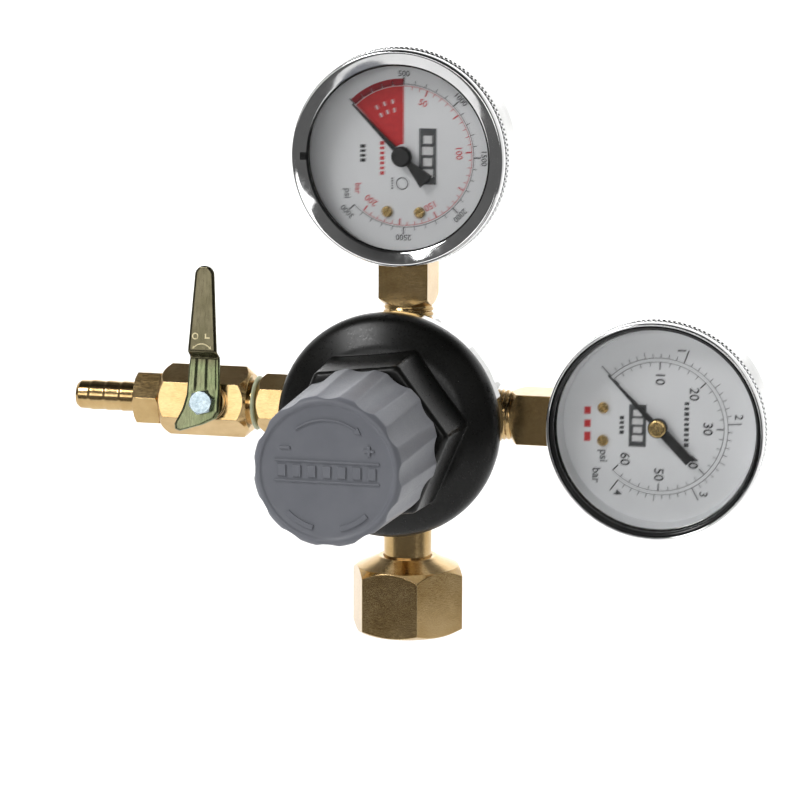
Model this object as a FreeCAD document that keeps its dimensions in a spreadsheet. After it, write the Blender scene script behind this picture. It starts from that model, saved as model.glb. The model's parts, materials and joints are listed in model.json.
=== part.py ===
import FreeCAD, Part
import os
import re
import Sketcher
from FreeCAD import Placement, Rotation, Vector

# Two-gauge carbon dioxide regulator. Millimetres. X to the right, Y to the back, Z up.
# The origin is on the inlet's axis, in the plane of the inlet nut's mouth. The regulator's
# own axis is parallel to Y, with the knob at the front, and the four ports are square to it.

SIZES = [
    # the whole arrangement
    ("axis_height", 63.1, "regulator axis above the inlet nut's mouth"),
    ("port_face", 26.5, "regulator axis to each port's face"),
    ("port_depth", 11.5, "depth of each tapped port"),
    ("port_thread", 6.6, "radius of the tapered pipe threads"),
    ("gauge_reach", 72.4, "regulator axis to each gauge's centre"),
    # body, measured from the ports' plane towards the front
    ("back_depth", 14.0, "ports' plane to the body's back"),
    ("tail_radius", 15.0, "body's flat back"),
    ("waist_radius", 24.4, "body in the ports' plane"),
    ("rim_radius", 30.4, "body's rim"),
    ("rim_back", 14.0, "start of the rim"),
    ("rim_front", 20.0, "rim's front face"),
    ("rim_flats", 24, "flats around the rim"),
    ("boss_radius", 9.5, "port bosses"),
    ("bonnet_bore", 26.4, "thread that the bonnet screws into"),
    ("ledge", 11.5, "seat of the diaphragm"),
    ("chamber_radius", 19.0, "low-pressure chamber"),
    ("chamber_floor", 6.5, "floor of the low-pressure chamber"),
    ("nozzle_thread", 7.2, "seat nozzle's thread"),
    ("nozzle_low", 2.5, "inner end of the seat nozzle's thread"),
    ("gas_bore", 6.4, "high-pressure bore"),
    ("gas_depth", 10.5, "depth of the high-pressure bore"),
    ("drill", 2.0, "gas passages"),
    ("passage_offset", 17.0, "passages from the low-pressure ports to the chamber"),
    # diaphragm stack and valve
    ("diaphragm_thick", 1.0, "diaphragm"),
    ("slip_thick", 0.8, "slip ring"),
    ("plate_radius", 17.0, "diaphragm plate"),
    ("plate_thick", 2.0, "diaphragm plate"),
    ("stem_radius", 0.9, "poppet's stem"),
    ("nozzle_hole", 1.5, "hole through the seat nozzle"),
    ("lip_radius", 2.4, "seat lip"),
    ("lip_height", 0.6, "seat lip"),
    ("nozzle_flange", 8.6, "seat nozzle's flange"),
    ("nozzle_flange_thick", 1.5, "seat nozzle's flange"),
    ("nozzle_flats", 11.0, "seat nozzle across flats"),
    ("poppet_radius", 4.6, "poppet"),
    ("poppet_length", 5.3, "poppet, without its stem"),
    ("seat_disc_thick", 1.0, "soft seat disc"),
    # bonnet
    ("flange_radius", 31.9, "bonnet's flange"),
    ("flange_front", 31.5, "ports' plane to the foot of the hexagon tower"),
    ("tower_front", 50.0, "ports' plane to the tower's front"),
    ("tower_base_flats", 42.3, "across flats at the foot of the tower"),
    ("tower_front_flats", 40.2, "across flats at the tower's front"),
    ("tower_turn", 7.0, "turn of the tower about its axis"),
    ("neck_radius", 14.2, "neck that the knob slides over"),
    ("neck_front", 60.0, "ports' plane to the neck's front"),
    ("spring_room", 17.0, "radius of the spring chamber"),
    ("sleeve_bore", 9.0, "bore of the neck"),
    ("sleeve_low", 48.2, "floor of the neck's bore"),
    ("teeth", 18, "locking teeth on the neck and in the knob"),
    ("tooth_width", 1.8, "locking teeth"),
    ("tooth_height", 1.1, "locking teeth"),
    ("tooth_band", 3.0, "length of the locking teeth"),
    # adjusting gear
    ("nut_flats", 17.0, "bonnet nut across flats"),
    ("nut_low", 37.0, "bonnet nut's inner face"),
    ("nut_thick", 8.0, "bonnet nut"),
    ("screw_radius", 4.0, "adjusting screw"),
    ("screw_tip", 33.5, "adjusting screw's tip, backed right out"),
    ("screw_length", 38.5, "adjusting screw"),
    ("screw_thread", 14.5, "threaded length of the adjusting screw"),
    ("screw_flats", 6.0, "adjusting screw's drive, across flats"),
    ("button_radius", 15.5, "spring button"),
    ("button_thick", 2.0, "spring button"),
    ("pilot_radius", 10.6, "bosses inside the range spring"),
    ("pilot_height", 2.0, "bosses inside the range spring"),
    ("spring_radius", 12.4, "range spring, middle of its wire"),
    ("spring_wire", 2.4, "range spring"),
    ("sleeve_flange", 8.8, "drive sleeve's flange"),
    ("sleeve_flats", 13.0, "drive sleeve across flats"),
    ("sleeve_nose", 5.5, "drive sleeve's nose"),
    ("snap_wide", 1.2, "snap rings"),
    ("running_gap", 0.05, "radial clearance of shafts and threads that turn"),
    ("sliding_gap", 0.2, "clearance of pieces that slide"),
    # knob
    ("knob_low", 53.0, "ports' plane to the knob's back, pulled out"),
    ("knob_high", 89.4, "ports' plane to the knob's face"),
    ("knob_base", 21.4, "knob's back"),
    ("knob_face", 19.7, "knob's face"),
    ("knob_wall", 2.6, "knob's wall"),
    ("knob_flutes", 12, "finger flutes"),
    ("flute_radius", 9.0, "finger flutes"),
    ("flute_depth", 1.1, "finger flutes at the knob's back"),
    ("knob_push", 2.8, "travel of the knob"),
    # inlet
    ("inlet_flats", 28.6, "inlet nut across flats"),
    ("inlet_height", 18.7, "inlet nut's hexagon"),
    ("inlet_top", 21.5, "inlet nut's collar"),
    ("inlet_thread", 9.6, "inlet nut's thread"),
    ("inlet_thread_length", 10.0, "inlet nut's thread"),
    ("inlet_relief", 10.4, "space behind the inlet nut's thread"),
    ("inlet_turn", 52.7, "turn of the inlet nut"),
    ("washer_radius", 9.4, "inlet washer"),
    ("washer_hole", 3.55, "inlet washer"),
    ("washer_low", 10.4, "inlet washer's lower face"),
    ("washer_thick", 2.0, "inlet washer"),
    ("nipple_head", 9.2, "nipple's head"),
    ("nipple_tube", 6.75, "nipple's tube"),
    ("head_straight", 3.2, "straight part of the nipple's head"),
    ("filter_radius", 4.2, "inlet filter"),
    ("filter_length", 5.0, "inlet filter"),
    # relief valve
    ("relief_plane", 8.0, "ports' plane to the relief valve's axis"),
    ("relief_angle", 36.0, "relief valve below the horizontal"),
    ("relief_thread", 2.8, "relief valve's thread"),
    ("relief_low", 20.5, "inner end of the relief valve"),
    ("relief_seat", 27.2, "relief valve's shoulder"),
    ("relief_high", 29.3, "relief valve's outer end"),
    ("relief_flats", 7.0, "relief valve across flats"),
    ("relief_bore", 1.9, "relief valve's bore"),
    # outlet valve, measured from the regulator axis towards the left
    ("adapter_shoulder", 30.0, "outlet adapter's hexagon begins"),
    ("adapter_end", 43.0, "outlet adapter's hexagon ends"),
    ("adapter_flats", 14.5, "outlet adapter across flats"),
    ("valve_low", 45.3, "valve body begins"),
    ("valve_high", 71.0, "valve body ends"),
    ("valve_flats", 17.5, "valve body across flats"),
    ("valve_turn", 8.0, "valve's front tipped up by this angle"),
    ("pivot_reach", 56.2, "lever's axis"),
    ("seat_bore", 6.2, "bore that holds the ball and its seats"),
    ("ball_radius", 5.6, "valve ball"),
    ("ball_hole", 2.4, "valve ball's hole"),
    ("seat_thick", 3.2, "ball seats"),
    ("barb_thread", 5.2, "hose barb's thread"),
    ("barb_flats", 14.3, "hose barb across flats"),
    ("barb_shoulder", 78.9, "hose barb's hexagon ends"),
    ("barb_end", 97.1, "hose barb's tip"),
    ("barb_radius", 4.15, "hose barb between its ridges"),
    ("barb_ridge", 0.2, "height of the ridges"),
    ("barb_hole", 2.5, "hose barb's hole"),
    ("check_bore", 3.6, "check valve's bore"),
    ("check_end", 75.6, "end of the check valve's bore"),
    # valve stem and lever, measured from the flow axis towards the front
    ("gland_front", 10.6, "face of the gland"),
    ("gland_radius", 5.4, "gland"),
    ("stem_shaft", 2.2, "valve stem"),
    ("stem_flange", 2.65, "valve stem's inner flange"),
    ("stem_flange_front", 6.9, "front of the valve stem's inner flange"),
    ("stem_square", 3.1, "square that drives the lever"),
    ("seal_radius", 3.8, "stem seal"),
    ("seal_length", 2.1, "stem seal"),
    ("lever_plane", 12.0, "back of the lever"),
    ("lever_thick", 1.4, "lever's sheet"),
    ("lever_length", 38.4, "pivot to the lever's tip"),
    ("lever_step", 3.0, "joggle of the lever"),
    ("tip_radius", 2.75, "lever's rounded tip"),
    ("lever_screw_flats", 6.2, "lever screw across flats"),
    ("lever_screw_head", 2.6, "lever screw's head"),
    # gauges, measured from the stem's axis towards the front
    ("socket_side", 14.0, "square of the gauge's socket"),
    ("socket_shoulder", 30.3, "regulator axis to the square"),
    ("neck_half", 6.5, "half width of the socket inside the case"),
    ("neck_back", 4.0, "socket inside the case, behind the stem's axis"),
    ("neck_reach", 13.0, "gauge's centre to the socket's inner end"),
    ("case_radius", 28.4, "gauge case"),
    ("case_back", 10.5, "stem's axis to the back of the case"),
    ("case_wall", 0.8, "gauge case"),
    ("dial_low", 5.9, "back of the dial"),
    ("dial_thick", 0.6, "dial"),
    ("dial_radius", 26.8, "dial"),
    ("lens_low", 11.8, "back of the lens"),
    ("lens_thick", 1.6, "lens"),
    ("lens_radius", 28.9, "lens"),
    ("bezel_radius", 30.3, "bezel"),
    ("bezel_low", 9.0, "back of the bezel's skirt"),
    ("bezel_front", 15.5, "bezel's lip"),
    ("bezel_opening", 25.3, "bezel's opening"),
    ("pointer_low", 8.2, "back of the pointer"),
    ("spindle_radius", 0.8, "pointer's spindle"),
    ("gear_module", 0.4, "gauge gears"),
    ("pinion_teeth", 10, "pinion on the spindle"),
    ("sector_teeth", 60, "full circle of the sector's teeth"),
    ("sector_direction", -20.0, "direction from the spindle to the sector's arbor"),
    ("tube_inner", 19.8, "bourdon tube's inner radius"),
    ("tube_outer", 21.6, "bourdon tube's outer radius"),
    ("tube_half", 2.5, "half height of the bourdon tube"),
    ("tube_root", 265.0, "direction of the bourdon tube's root"),
    ("tube_sweep", 287.0, "angle that the bourdon tube covers"),
    ("screw_reach", 15.6, "gauge's centre to its dial screws"),
    ("screw_apart", 4.6, "half the distance between the dial screws"),
    ("dial_screw", 1.55, "dial screw's head"),
    ("pointer_length", 19.9, "gauge's centre to the pointer's tip"),
    ("hub_radius", 2.8, "pointer's hub"),
    ("tail_arm", 4.0, "sector's arbor to the link's pin"),
    ("link_length", 3.3, "link between sector and bourdon tube"),
    ("pin_radius", 0.45, "pins of the link"),
]

doc = FreeCAD.newDocument("regulator")
sheet = doc.addObject("Spreadsheet::Sheet", "Sizes")
for row, (alias, size, meaning) in enumerate(SIZES, start=1):
    sheet.set(f"A{row}", alias)
    sheet.set(f"B{row}", str(size))
    sheet.setAlias(f"B{row}", alias)
    sheet.set(f"C{row}", meaning)
doc.recompute()

ALIASES = {alias for alias, size, meaning in SIZES}

# Lengths that follow from the sizes above, written once as expressions.
DERIVED = {
    "stack_front": "(ledge + diaphragm_thick)",
    "spigot_low": "(ledge + diaphragm_thick + slip_thick)",
    "spring_low": "(ledge + diaphragm_thick + plate_thick)",
    "spring_high": "(screw_tip - button_thick)",
    "hole_low": "(nut_low + nut_thick)",
    "flange_top": "(sleeve_low + 3)",
    "ring_top": "(sleeve_low + 3.1 + snap_wide)",
    "band_low": "(neck_front - tooth_band - 2.5)",
    "knob_band": "(neck_front - 1.8)",
    "hub_low": "(neck_front + 3.2)",
    "nose_low": "(hub_low + 8.8)",
    "nose_high": "(hub_low + 16.8)",
    "groove_low": "(hub_low + 13.2)",
    "groove_high": "(groove_low + snap_wide + knob_push + 0.4)",
    "tapped_low": "(port_face - port_depth)",
    "head_low": "(washer_low + washer_thick)",
    "cone_top": "(head_low + head_straight + nipple_head - nipple_tube)",
    "seat_mouth": "(pivot_reach - ball_radius - 0.4)",
    "seat_mouth_far": "(pivot_reach + ball_radius + 0.4)",
    "socket_end": "(gauge_reach - case_radius)",
    "neck_top": "(gauge_reach - neck_reach)",
    "dial_top": "(dial_low + dial_thick)",
    "lens_high": "(lens_low + lens_thick)",
    "centre_distance": "(gear_module * (pinion_teeth + sector_teeth) / 2)",
    "lever_front": "(lever_plane + lever_thick)",
    "arbor_x": "(centre_distance * cos(sector_direction))",
    "arbor_y": "(centre_distance * sin(sector_direction))",
    "tail_x": "(arbor_x + tail_arm * cos(-45))",
    "tail_y": "(arbor_y + tail_arm * sin(-45))",
    "link_x": "(tail_x + link_length * cos(-62))",
    "link_y": "(tail_y + link_length * sin(-62))",
}
WORD = re.compile(r"[a-z_][a-z_0-9]*")


def ex(text):
    """The text as a FreeCAD expression: derived names unfolded, aliases pointed at the sheet."""
    while any(word in DERIVED for word in WORD.findall(text)):
        text = WORD.sub(lambda found: DERIVED.get(found[0], found[0]), text)
    return WORD.sub(lambda found: "Sizes." + found[0] if found[0] in ALIASES else found[0], text)


def value(text):
    return float(sheet.evalExpression(ex(text)))


# ---- PartDesign helpers: every point, radius and length is an expression on the sheet ----

def new_body(label):
    body = doc.addObject("PartDesign::Body", label)
    body.Label = label
    return body


def origin_plane(body, role):
    return next(item for item in body.Origin.OriginFeatures if item.Role == role)


def sketch_on(body, plane, loops, lift="0"):
    """A fully constrained sketch. A loop is a list of (x, y) points or ("circle", x, y, radius)."""
    sketch = body.newObject("Sketcher::SketchObject", body.Label + "_sketch")
    sketch.AttachmentSupport = [(origin_plane(body, plane), "")]
    sketch.MapMode = "FlatFace"
    if lift != "0":
        sketch.setExpression("AttachmentOffset.Base.z", ex(lift))
    for loop in loops:
        if loop[0] == "circle":
            add_circle(sketch, *loop[1:])
        else:
            add_polygon(sketch, loop)
    return sketch


def constrain(sketch, kind, *details, formula):
    index = sketch.addConstraint(Sketcher.Constraint(kind, *details, value(formula)))
    sketch.setExpression(f"Constraints[{index}]", ex(formula))


def add_circle(sketch, x, y, radius):
    centre = Vector(value(x), value(y), 0)
    geometry = sketch.addGeometry(Part.Circle(centre, Vector(0, 0, 1), value(radius)))
    constrain(sketch, "DistanceX", -1, 1, geometry, 3, formula=x)
    constrain(sketch, "DistanceY", -1, 1, geometry, 3, formula=y)
    constrain(sketch, "Radius", geometry, formula=radius)


def add_polygon(sketch, points):
    corners = [Vector(value(x), value(y), 0) for x, y in points]
    count = len(corners)
    lines = []
    for start in range(count):
        segment = Part.LineSegment(corners[start], corners[(start + 1) % count])
        lines.append(sketch.addGeometry(segment))
    for start in range(count):
        following = lines[(start + 1) % count]
        sketch.addConstraint(Sketcher.Constraint("Coincident", lines[start], 2, following, 1))
    for line, (x, y) in zip(lines, points):
        constrain(sketch, "DistanceX", -1, 1, line, 1, formula=x)
        constrain(sketch, "DistanceY", -1, 1, line, 1, formula=y)


def turn(body, *loops, cut=False, plane="XZ_Plane", axis="V_Axis", angle="360", clockwise=False):
    """Material added or cut by turning outlines about an axis of their plane."""
    sketch = sketch_on(body, plane, loops)
    kind = "PartDesign::Groove" if cut else "PartDesign::Revolution"
    feature = body.newObject(kind, body.Label + "_turned")
    feature.Profile = sketch
    feature.ReferenceAxis = (sketch, [axis])
    feature.setExpression("Angle", ex(angle))
    feature.Reversed = clockwise
    return feature


def pad(body, low, high, *loops):
    feature = body.newObject("PartDesign::Pad", body.Label + "_pad")
    feature.Profile = sketch_on(body, "XY_Plane", loops, low)
    feature.setExpression("Length", ex(f"({high}) - ({low})"))
    return feature


def pocket(body, low, high, *loops):
    """A cut from the height high down to the height low."""
    feature = body.newObject("PartDesign::Pocket", body.Label + "_pocket")
    feature.Profile = sketch_on(body, "XY_Plane", loops, high)
    feature.setExpression("Length", ex(f"({high}) - ({low})"))
    return feature


def around(body, feature, count):
    """The last feature repeated evenly about the body's own axis."""
    pattern = body.newObject("PartDesign::PolarPattern", body.Label + "_pattern")
    pattern.Originals = [feature]
    pattern.Axis = (origin_plane(body, "Z_Axis"), [""])
    pattern.Angle = 360
    pattern.setExpression("Occurrences", ex(count))
    body.Tip = pattern


def polygon(sides, across, turned="0"):
    """Corners of a regular polygon, given across flats. The first corner is at the angle turned."""
    corner = f"({across}) / 2 / cos({180 / sides})"
    return [(f"{corner} * cos({360 / sides * step} + {turned})",
             f"{corner} * sin({360 / sides * step} + {turned})") for step in range(sides)]


def mill(body, sides, across, low, high, turned="0"):
    """Flats milled on round stock between two heights."""
    outside = ("circle", "0", "0", f"({across}) * 1.2")
    return pocket(body, low, high, outside, polygon(sides, across, turned))


def ring(inner, outer, low, high):
    return [(inner, low), (outer, low), (outer, high), (inner, high)]


def rectangle(left, right, low, high):
    return [(left, low), (right, low), (right, high), (left, high)]


def turned_body(label, outline):
    body = new_body(label)
    turn(body, outline)
    return body


def boolean(kind, label, base, tool):
    result = doc.addObject("Part::" + kind, label)
    result.Label = label
    result.Base = base
    result.Tool = tool
    return result


def group(label, members):
    result = doc.addObject("Part::Compound", label)
    result.Label = label
    result.Links = members
    return result


def coil(label, radius, wire, low, high, turns):
    """A helical spring whose outside lies between two heights, swept a turn at a time."""
    helix = doc.addObject("Part::Helix", label + "_helix")
    helix.SegmentLength = 1
    helix.setExpression("Radius", ex(radius))
    helix.setExpression("Pitch", ex(f"(({high}) - ({low}) - ({wire})) / {turns}"))
    helix.setExpression("Height", ex(f"({high}) - ({low}) - ({wire})"))
    helix.setExpression("Placement.Base.z", ex(f"({low}) + ({wire}) / 2"))
    section = doc.addObject("Part::Circle", label + "_section")
    section.setExpression("Radius", ex(f"({wire}) / 2"))
    section.Placement = Placement(Vector(), Rotation(Vector(1, 0, 0), 90))
    section.setExpression("Placement.Base.x", ex(radius))
    section.setExpression("Placement.Base.z", ex(f"({low}) + ({wire}) / 2"))
    sweep = doc.addObject("Part::Sweep", label)
    sweep.Label = label
    sweep.Sections = [section]
    sweep.Spine = (helix, [f"Edge{turn_number + 1}" for turn_number in range(turns)])
    sweep.Solid = True
    sweep.Frenet = True
    return sweep


# ---- places: each is a rotation, and a base whose coordinates are expressions ----

FACE_ON = Rotation(Vector(1, 0, 0), 90)
VALVE_TURN = Rotation(Vector(1, 0, 0), -value("valve_turn"))
LEFTWARD = Rotation(Vector(0, -1, 0), Vector(0, 0, 1), Vector(-1, 0, 0), "ZXY")
OUTWARD = Rotation(Vector(0, 1, 0), 90)
RELIEF_DOWN = Rotation(Vector(0, 1, 0), 90 + value("relief_angle"))

FRONT = (FACE_ON, "0", "0", "axis_height")
INLET = (Rotation(), "0", "0", "0")
OUTLET = (VALVE_TURN * LEFTWARD, "0", "0", "axis_height")
STEM = (VALVE_TURN * FACE_ON, "-pivot_reach", "0", "axis_height")
RELIEF = (RELIEF_DOWN, "0", "-relief_plane", "axis_height")
TANK_SOCKET = (Rotation(), "0", "0", "axis_height")
TANK_DIAL = (FACE_ON, "0", "0", "axis_height + gauge_reach")
LINE_SOCKET = (OUTWARD, "0", "0", "axis_height")
LINE_DIAL = (FACE_ON * Rotation(Vector(0, 0, 1), -90), "gauge_reach", "0", "axis_height")


def shifted(place, right, up):
    """The same place with its origin moved along its own X and Y."""
    rotation, *base = place
    across = rotation.multVec(Vector(1, 0, 0))
    upward = rotation.multVec(Vector(0, 1, 0))
    moved = [f"{start} + ({right}) * {round(a, 9)} + ({up}) * {round(b, 9)}"
             for start, a, b in zip(base, across, upward)]
    return (rotation, *moved)


def put(piece, place, spin=0):
    rotation, x, y, z = place
    piece.Placement = Placement(Vector(), rotation * Rotation(Vector(0, 0, 1), spin))
    for coordinate, formula in zip("xyz", (x, y, z)):
        piece.setExpression("Placement.Base." + coordinate, ex(formula))
    return piece


# ---- body ----

def body_casting():
    casting = new_body("body_casting")
    turn(casting, [
        ("0", "-back_depth"),
        ("tail_radius", "-back_depth"),
        ("tail_radius + 3", "1.5 - back_depth"),
        ("waist_radius - 3.2", "5 - back_depth"),
        ("waist_radius", "0"),
        ("rim_radius - 2.8", "rim_back - 3.5"),
        ("rim_radius", "rim_back"),
        ("rim_radius", "rim_front"),
        ("0", "rim_front"),
    ])
    mill(casting, int(value("rim_flats")), "2 * rim_radius * cos(180 / rim_flats)", "rim_back - 2",
         "rim_front")
    for plane in ("XZ_Plane", "YZ_Plane"):
        for side in ("", "-"):
            turn(casting, [
                (side + "(waist_radius - 8)", "0"),
                (side + "(waist_radius - 8)", "boss_radius"),
                (side + "(port_face - 1)", "boss_radius"),
                (side + "port_face", "boss_radius - 1"),
                (side + "port_face", "0"),
            ], plane=plane, axis="H_Axis")
    turn(casting, [
        ("0", "rim_front"),
        ("bonnet_bore", "rim_front"),
        ("bonnet_bore", "ledge"),
        ("chamber_radius", "ledge"),
        ("chamber_radius", "chamber_floor"),
        ("nozzle_thread", "chamber_floor"),
        ("nozzle_thread", "nozzle_low"),
        ("gas_bore", "nozzle_low"),
        ("gas_bore", "-gas_depth"),
        ("0", "-gas_depth"),
    ], cut=True)
    for side in ("", "-"):
        tapped = [(side + "tapped_low", "0"), (side + "tapped_low", "port_thread"),
                  (side + "port_face", "port_thread"), (side + "port_face", "0")]
        turn(casting, tapped, cut=True, plane="XZ_Plane", axis="H_Axis")
        drilled = [("0", "0"), ("0", "drill"), (side + "tapped_low", "drill")] + tapped[1:]
        turn(casting, drilled, cut=True, plane="YZ_Plane", axis="H_Axis")
    pocket(casting, "0", "chamber_floor", ("circle", "passage_offset", "0", "drill * 0.8"),
           ("circle", "-passage_offset", "0", "drill * 0.8"))
    put(casting, FRONT)
    relief_hole = put(turned_body("relief_hole", [
        ("0", "chamber_radius - 1.5"),
        ("relief_thread", "chamber_radius - 1.5"),
        ("relief_thread", "relief_seat"),
        ("relief_flats * 0.66", "relief_seat"),
        ("relief_flats * 0.66", "rim_radius + 2"),
        ("0", "rim_radius + 2"),
    ]), RELIEF)
    return boolean("Cut", "body", casting, relief_hole)


def body_pieces():
    pieces = [body_casting()]
    turned = {
        "diaphragm": ring("0", "bonnet_bore", "ledge", "stack_front"),
        "slip_ring": ring("chamber_radius + 1", "bonnet_bore", "stack_front", "spigot_low"),
        "diaphragm_plate": [
            ("0", "stack_front"), ("plate_radius", "stack_front"), ("plate_radius", "spring_low"),
            ("pilot_radius", "spring_low"), ("pilot_radius", "spring_low + pilot_height"),
            ("0", "spring_low + pilot_height"),
        ],
        "seat_disc": ring("stem_radius", "poppet_radius - 1.1",
                          "nozzle_low - lip_height - seat_disc_thick", "nozzle_low - lip_height"),
        "poppet": [
            ("0", "nozzle_low - lip_height - 0.6 - poppet_length"),
            ("poppet_radius", "nozzle_low - lip_height - 0.6 - poppet_length"),
            ("poppet_radius", "nozzle_low - lip_height - 0.6"),
            ("poppet_radius - 1.1", "nozzle_low - lip_height - 0.6"),
            ("poppet_radius - 1.1", "nozzle_low - lip_height - seat_disc_thick"),
            ("stem_radius", "nozzle_low - lip_height - seat_disc_thick"),
            ("stem_radius", "ledge"),
            ("0", "ledge"),
        ],
    }
    for label, outline in turned.items():
        pieces.append(put(turned_body(label, outline), FRONT))
    nozzle = turned_body("seat_nozzle", [
        ("nozzle_hole", "nozzle_low - lip_height"),
        ("lip_radius", "nozzle_low - lip_height"),
        ("lip_radius + lip_height", "nozzle_low"),
        ("nozzle_thread", "nozzle_low"),
        ("nozzle_thread", "chamber_floor"),
        ("nozzle_flange", "chamber_floor"),
        ("nozzle_flange", "chamber_floor + nozzle_flange_thick"),
        ("nozzle_flats / 2 / cos(30)", "chamber_floor + nozzle_flange_thick"),
        ("nozzle_flats / 2 / cos(30)", "ledge - 1.9"),
        ("nozzle_hole", "ledge - 1.9"),
    ])
    mill(nozzle, 6, "nozzle_flats", "chamber_floor + nozzle_flange_thick", "ledge - 1.9")
    pieces.append(put(nozzle, FRONT))
    poppet_back = "nozzle_low - lip_height - 0.6 - poppet_length"
    pieces.append(put(coil("poppet_spring", "3.4", "0.7", "-gas_depth", poppet_back, 4), FRONT))
    return pieces


# ---- bonnet, range spring, adjusting screw and knob ----

def bonnet():
    body = new_body("bonnet")
    turn(body, [
        ("0", "spigot_low"),
        ("bonnet_bore", "spigot_low"),
        ("bonnet_bore", "rim_front"),
        ("flange_radius - 1.3", "rim_front"),
        ("flange_radius", "rim_front + 1.5"),
        ("flange_radius", "rim_front + 4.2"),
        ("flange_radius - 1.0", "rim_front + 6.4"),
        ("flange_radius - 3.4", "rim_front + 8.2"),
        ("tower_base_flats / 2 + 1.5", "flange_front"),
        ("neck_radius", "flange_front"),
        ("neck_radius", "neck_front"),
        ("0", "neck_front"),
    ])
    base = sketch_on(body, "XY_Plane", [polygon(6, "tower_base_flats", "tower_turn")], "rim_front + 8")
    face = sketch_on(body, "XY_Plane", [polygon(6, "tower_front_flats", "tower_turn")], "tower_front")
    tower = body.newObject("PartDesign::AdditiveLoft", "bonnet_tower")
    tower.Profile = base
    tower.Sections = [face]
    tooth = rectangle("neck_radius - 0.5", "neck_radius + tooth_height",
                      "-tooth_width / 2", "tooth_width / 2")
    around(body, pad(body, "band_low", "band_low + tooth_band", tooth), "teeth")
    turn(body, [
        ("0", "spigot_low"),
        ("spring_room + 3.5", "spigot_low"),
        ("spring_room + 3.5", "rim_front"),
        ("spring_room", "rim_front + 2"),
        ("spring_room", "nut_low"),
        ("screw_radius + 0.6", "nut_low"),
        ("screw_radius + 0.6", "sleeve_low"),
        ("sleeve_bore", "sleeve_low"),
        ("sleeve_bore", "flange_top + 0.1"),
        ("sleeve_bore + 0.6", "flange_top + 0.1"),
        ("sleeve_bore + 0.6", "ring_top"),
        ("sleeve_bore", "ring_top"),
        ("sleeve_bore", "neck_front"),
        ("0", "neck_front"),
    ], cut=True)
    pocket(body, "nut_low", "hole_low", polygon(6, "nut_flats"))
    return put(body, FRONT)


def knob():
    body = new_body("knob")
    turn(body, [
        ("0", "knob_low"),
        ("knob_base", "knob_low"),
        ("knob_face + 0.2", "knob_high - 1"),
        ("knob_face - 0.9", "knob_high"),
        ("knob_face - 1.8", "knob_high"),
        ("knob_face - 2.2", "knob_high - 0.5"),
        ("0", "knob_high - 0.5"),
    ])
    flute = ("circle", "knob_base + flute_radius - flute_depth", "0", "flute_radius")
    around(body, pocket(body, "knob_low", "knob_high", flute), "knob_flutes")
    turn(body, [
        ("0", "knob_low"),
        ("knob_base - knob_wall", "knob_low"),
        ("knob_base - knob_wall", "knob_band - 0.6"),
        ("neck_radius + tooth_height + 1.2", "knob_band - 0.6"),
        ("neck_radius + tooth_height + 1.2", "hub_low - 1.4"),
        ("knob_face - knob_wall", "hub_low - 1.4"),
        ("knob_face - knob_wall", "knob_high - 3"),
        ("sleeve_flats * 0.8", "knob_high - 3"),
        ("sleeve_flats * 0.8", "hub_low"),
        ("0", "hub_low"),
    ], cut=True)
    turn(body, [
        ("0", "nose_low"),
        ("sleeve_nose + 0.4", "nose_low"),
        ("sleeve_nose + 0.4", "groove_low"),
        ("sleeve_nose + 1.1", "groove_low"),
        ("sleeve_nose + 1.1", "groove_high"),
        ("sleeve_nose + 0.4", "groove_high"),
        ("sleeve_nose + 0.4", "nose_high + knob_push + 0.2"),
        ("0", "nose_high + knob_push + 0.2"),
    ], cut=True)
    socket = polygon(6, "sleeve_flats + 2 * sliding_gap")
    pocket(body, "hub_low", "nose_low + knob_push + 0.4", socket)
    half_pitch = "180 / teeth"
    near = "neck_radius + 0.4"
    far = "neck_radius + tooth_height + 1.8"
    corners = ((near, "-1"), (far, "-1"), (far, "1"), (near, "1"))
    tooth = [(f"({r}) * cos({half_pitch}) - {side} * tooth_width / 2 * sin({half_pitch})",
              f"({r}) * sin({half_pitch}) + {side} * tooth_width / 2 * cos({half_pitch})")
             for r, side in corners]
    around(body, pad(body, "knob_band", "knob_band + tooth_band", tooth), "teeth")
    return put(body, FRONT)


def drive_sleeve():
    body = turned_body("drive_sleeve", [
        ("0", "sleeve_low"),
        ("sleeve_flange", "sleeve_low"),
        ("sleeve_flange", "flange_top"),
        ("sleeve_flats * 0.6", "flange_top"),
        ("sleeve_flats * 0.6", "nose_low"),
        ("sleeve_nose", "nose_low"),
        ("sleeve_nose", "groove_low + 0.2"),
        ("sleeve_nose - 0.6", "groove_low + 0.2"),
        ("sleeve_nose - 0.6", "groove_low + 0.2 + snap_wide"),
        ("sleeve_nose", "groove_low + 0.2 + snap_wide"),
        ("sleeve_nose", "nose_high"),
        ("0", "nose_high"),
    ])
    mill(body, 6, "sleeve_flats", "flange_top", "nose_low")
    pocket(body, "sleeve_low", "nose_high - 2", polygon(6, "screw_flats + 2 * sliding_gap"))
    return put(body, FRONT)


def snap_ring(label, inner, outer, low, high):
    body = turned_body(label, ring(inner, outer, low, high))
    pocket(body, low, high, rectangle("0", outer, "-0.8", "0.8"))
    return put(body, FRONT)


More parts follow.
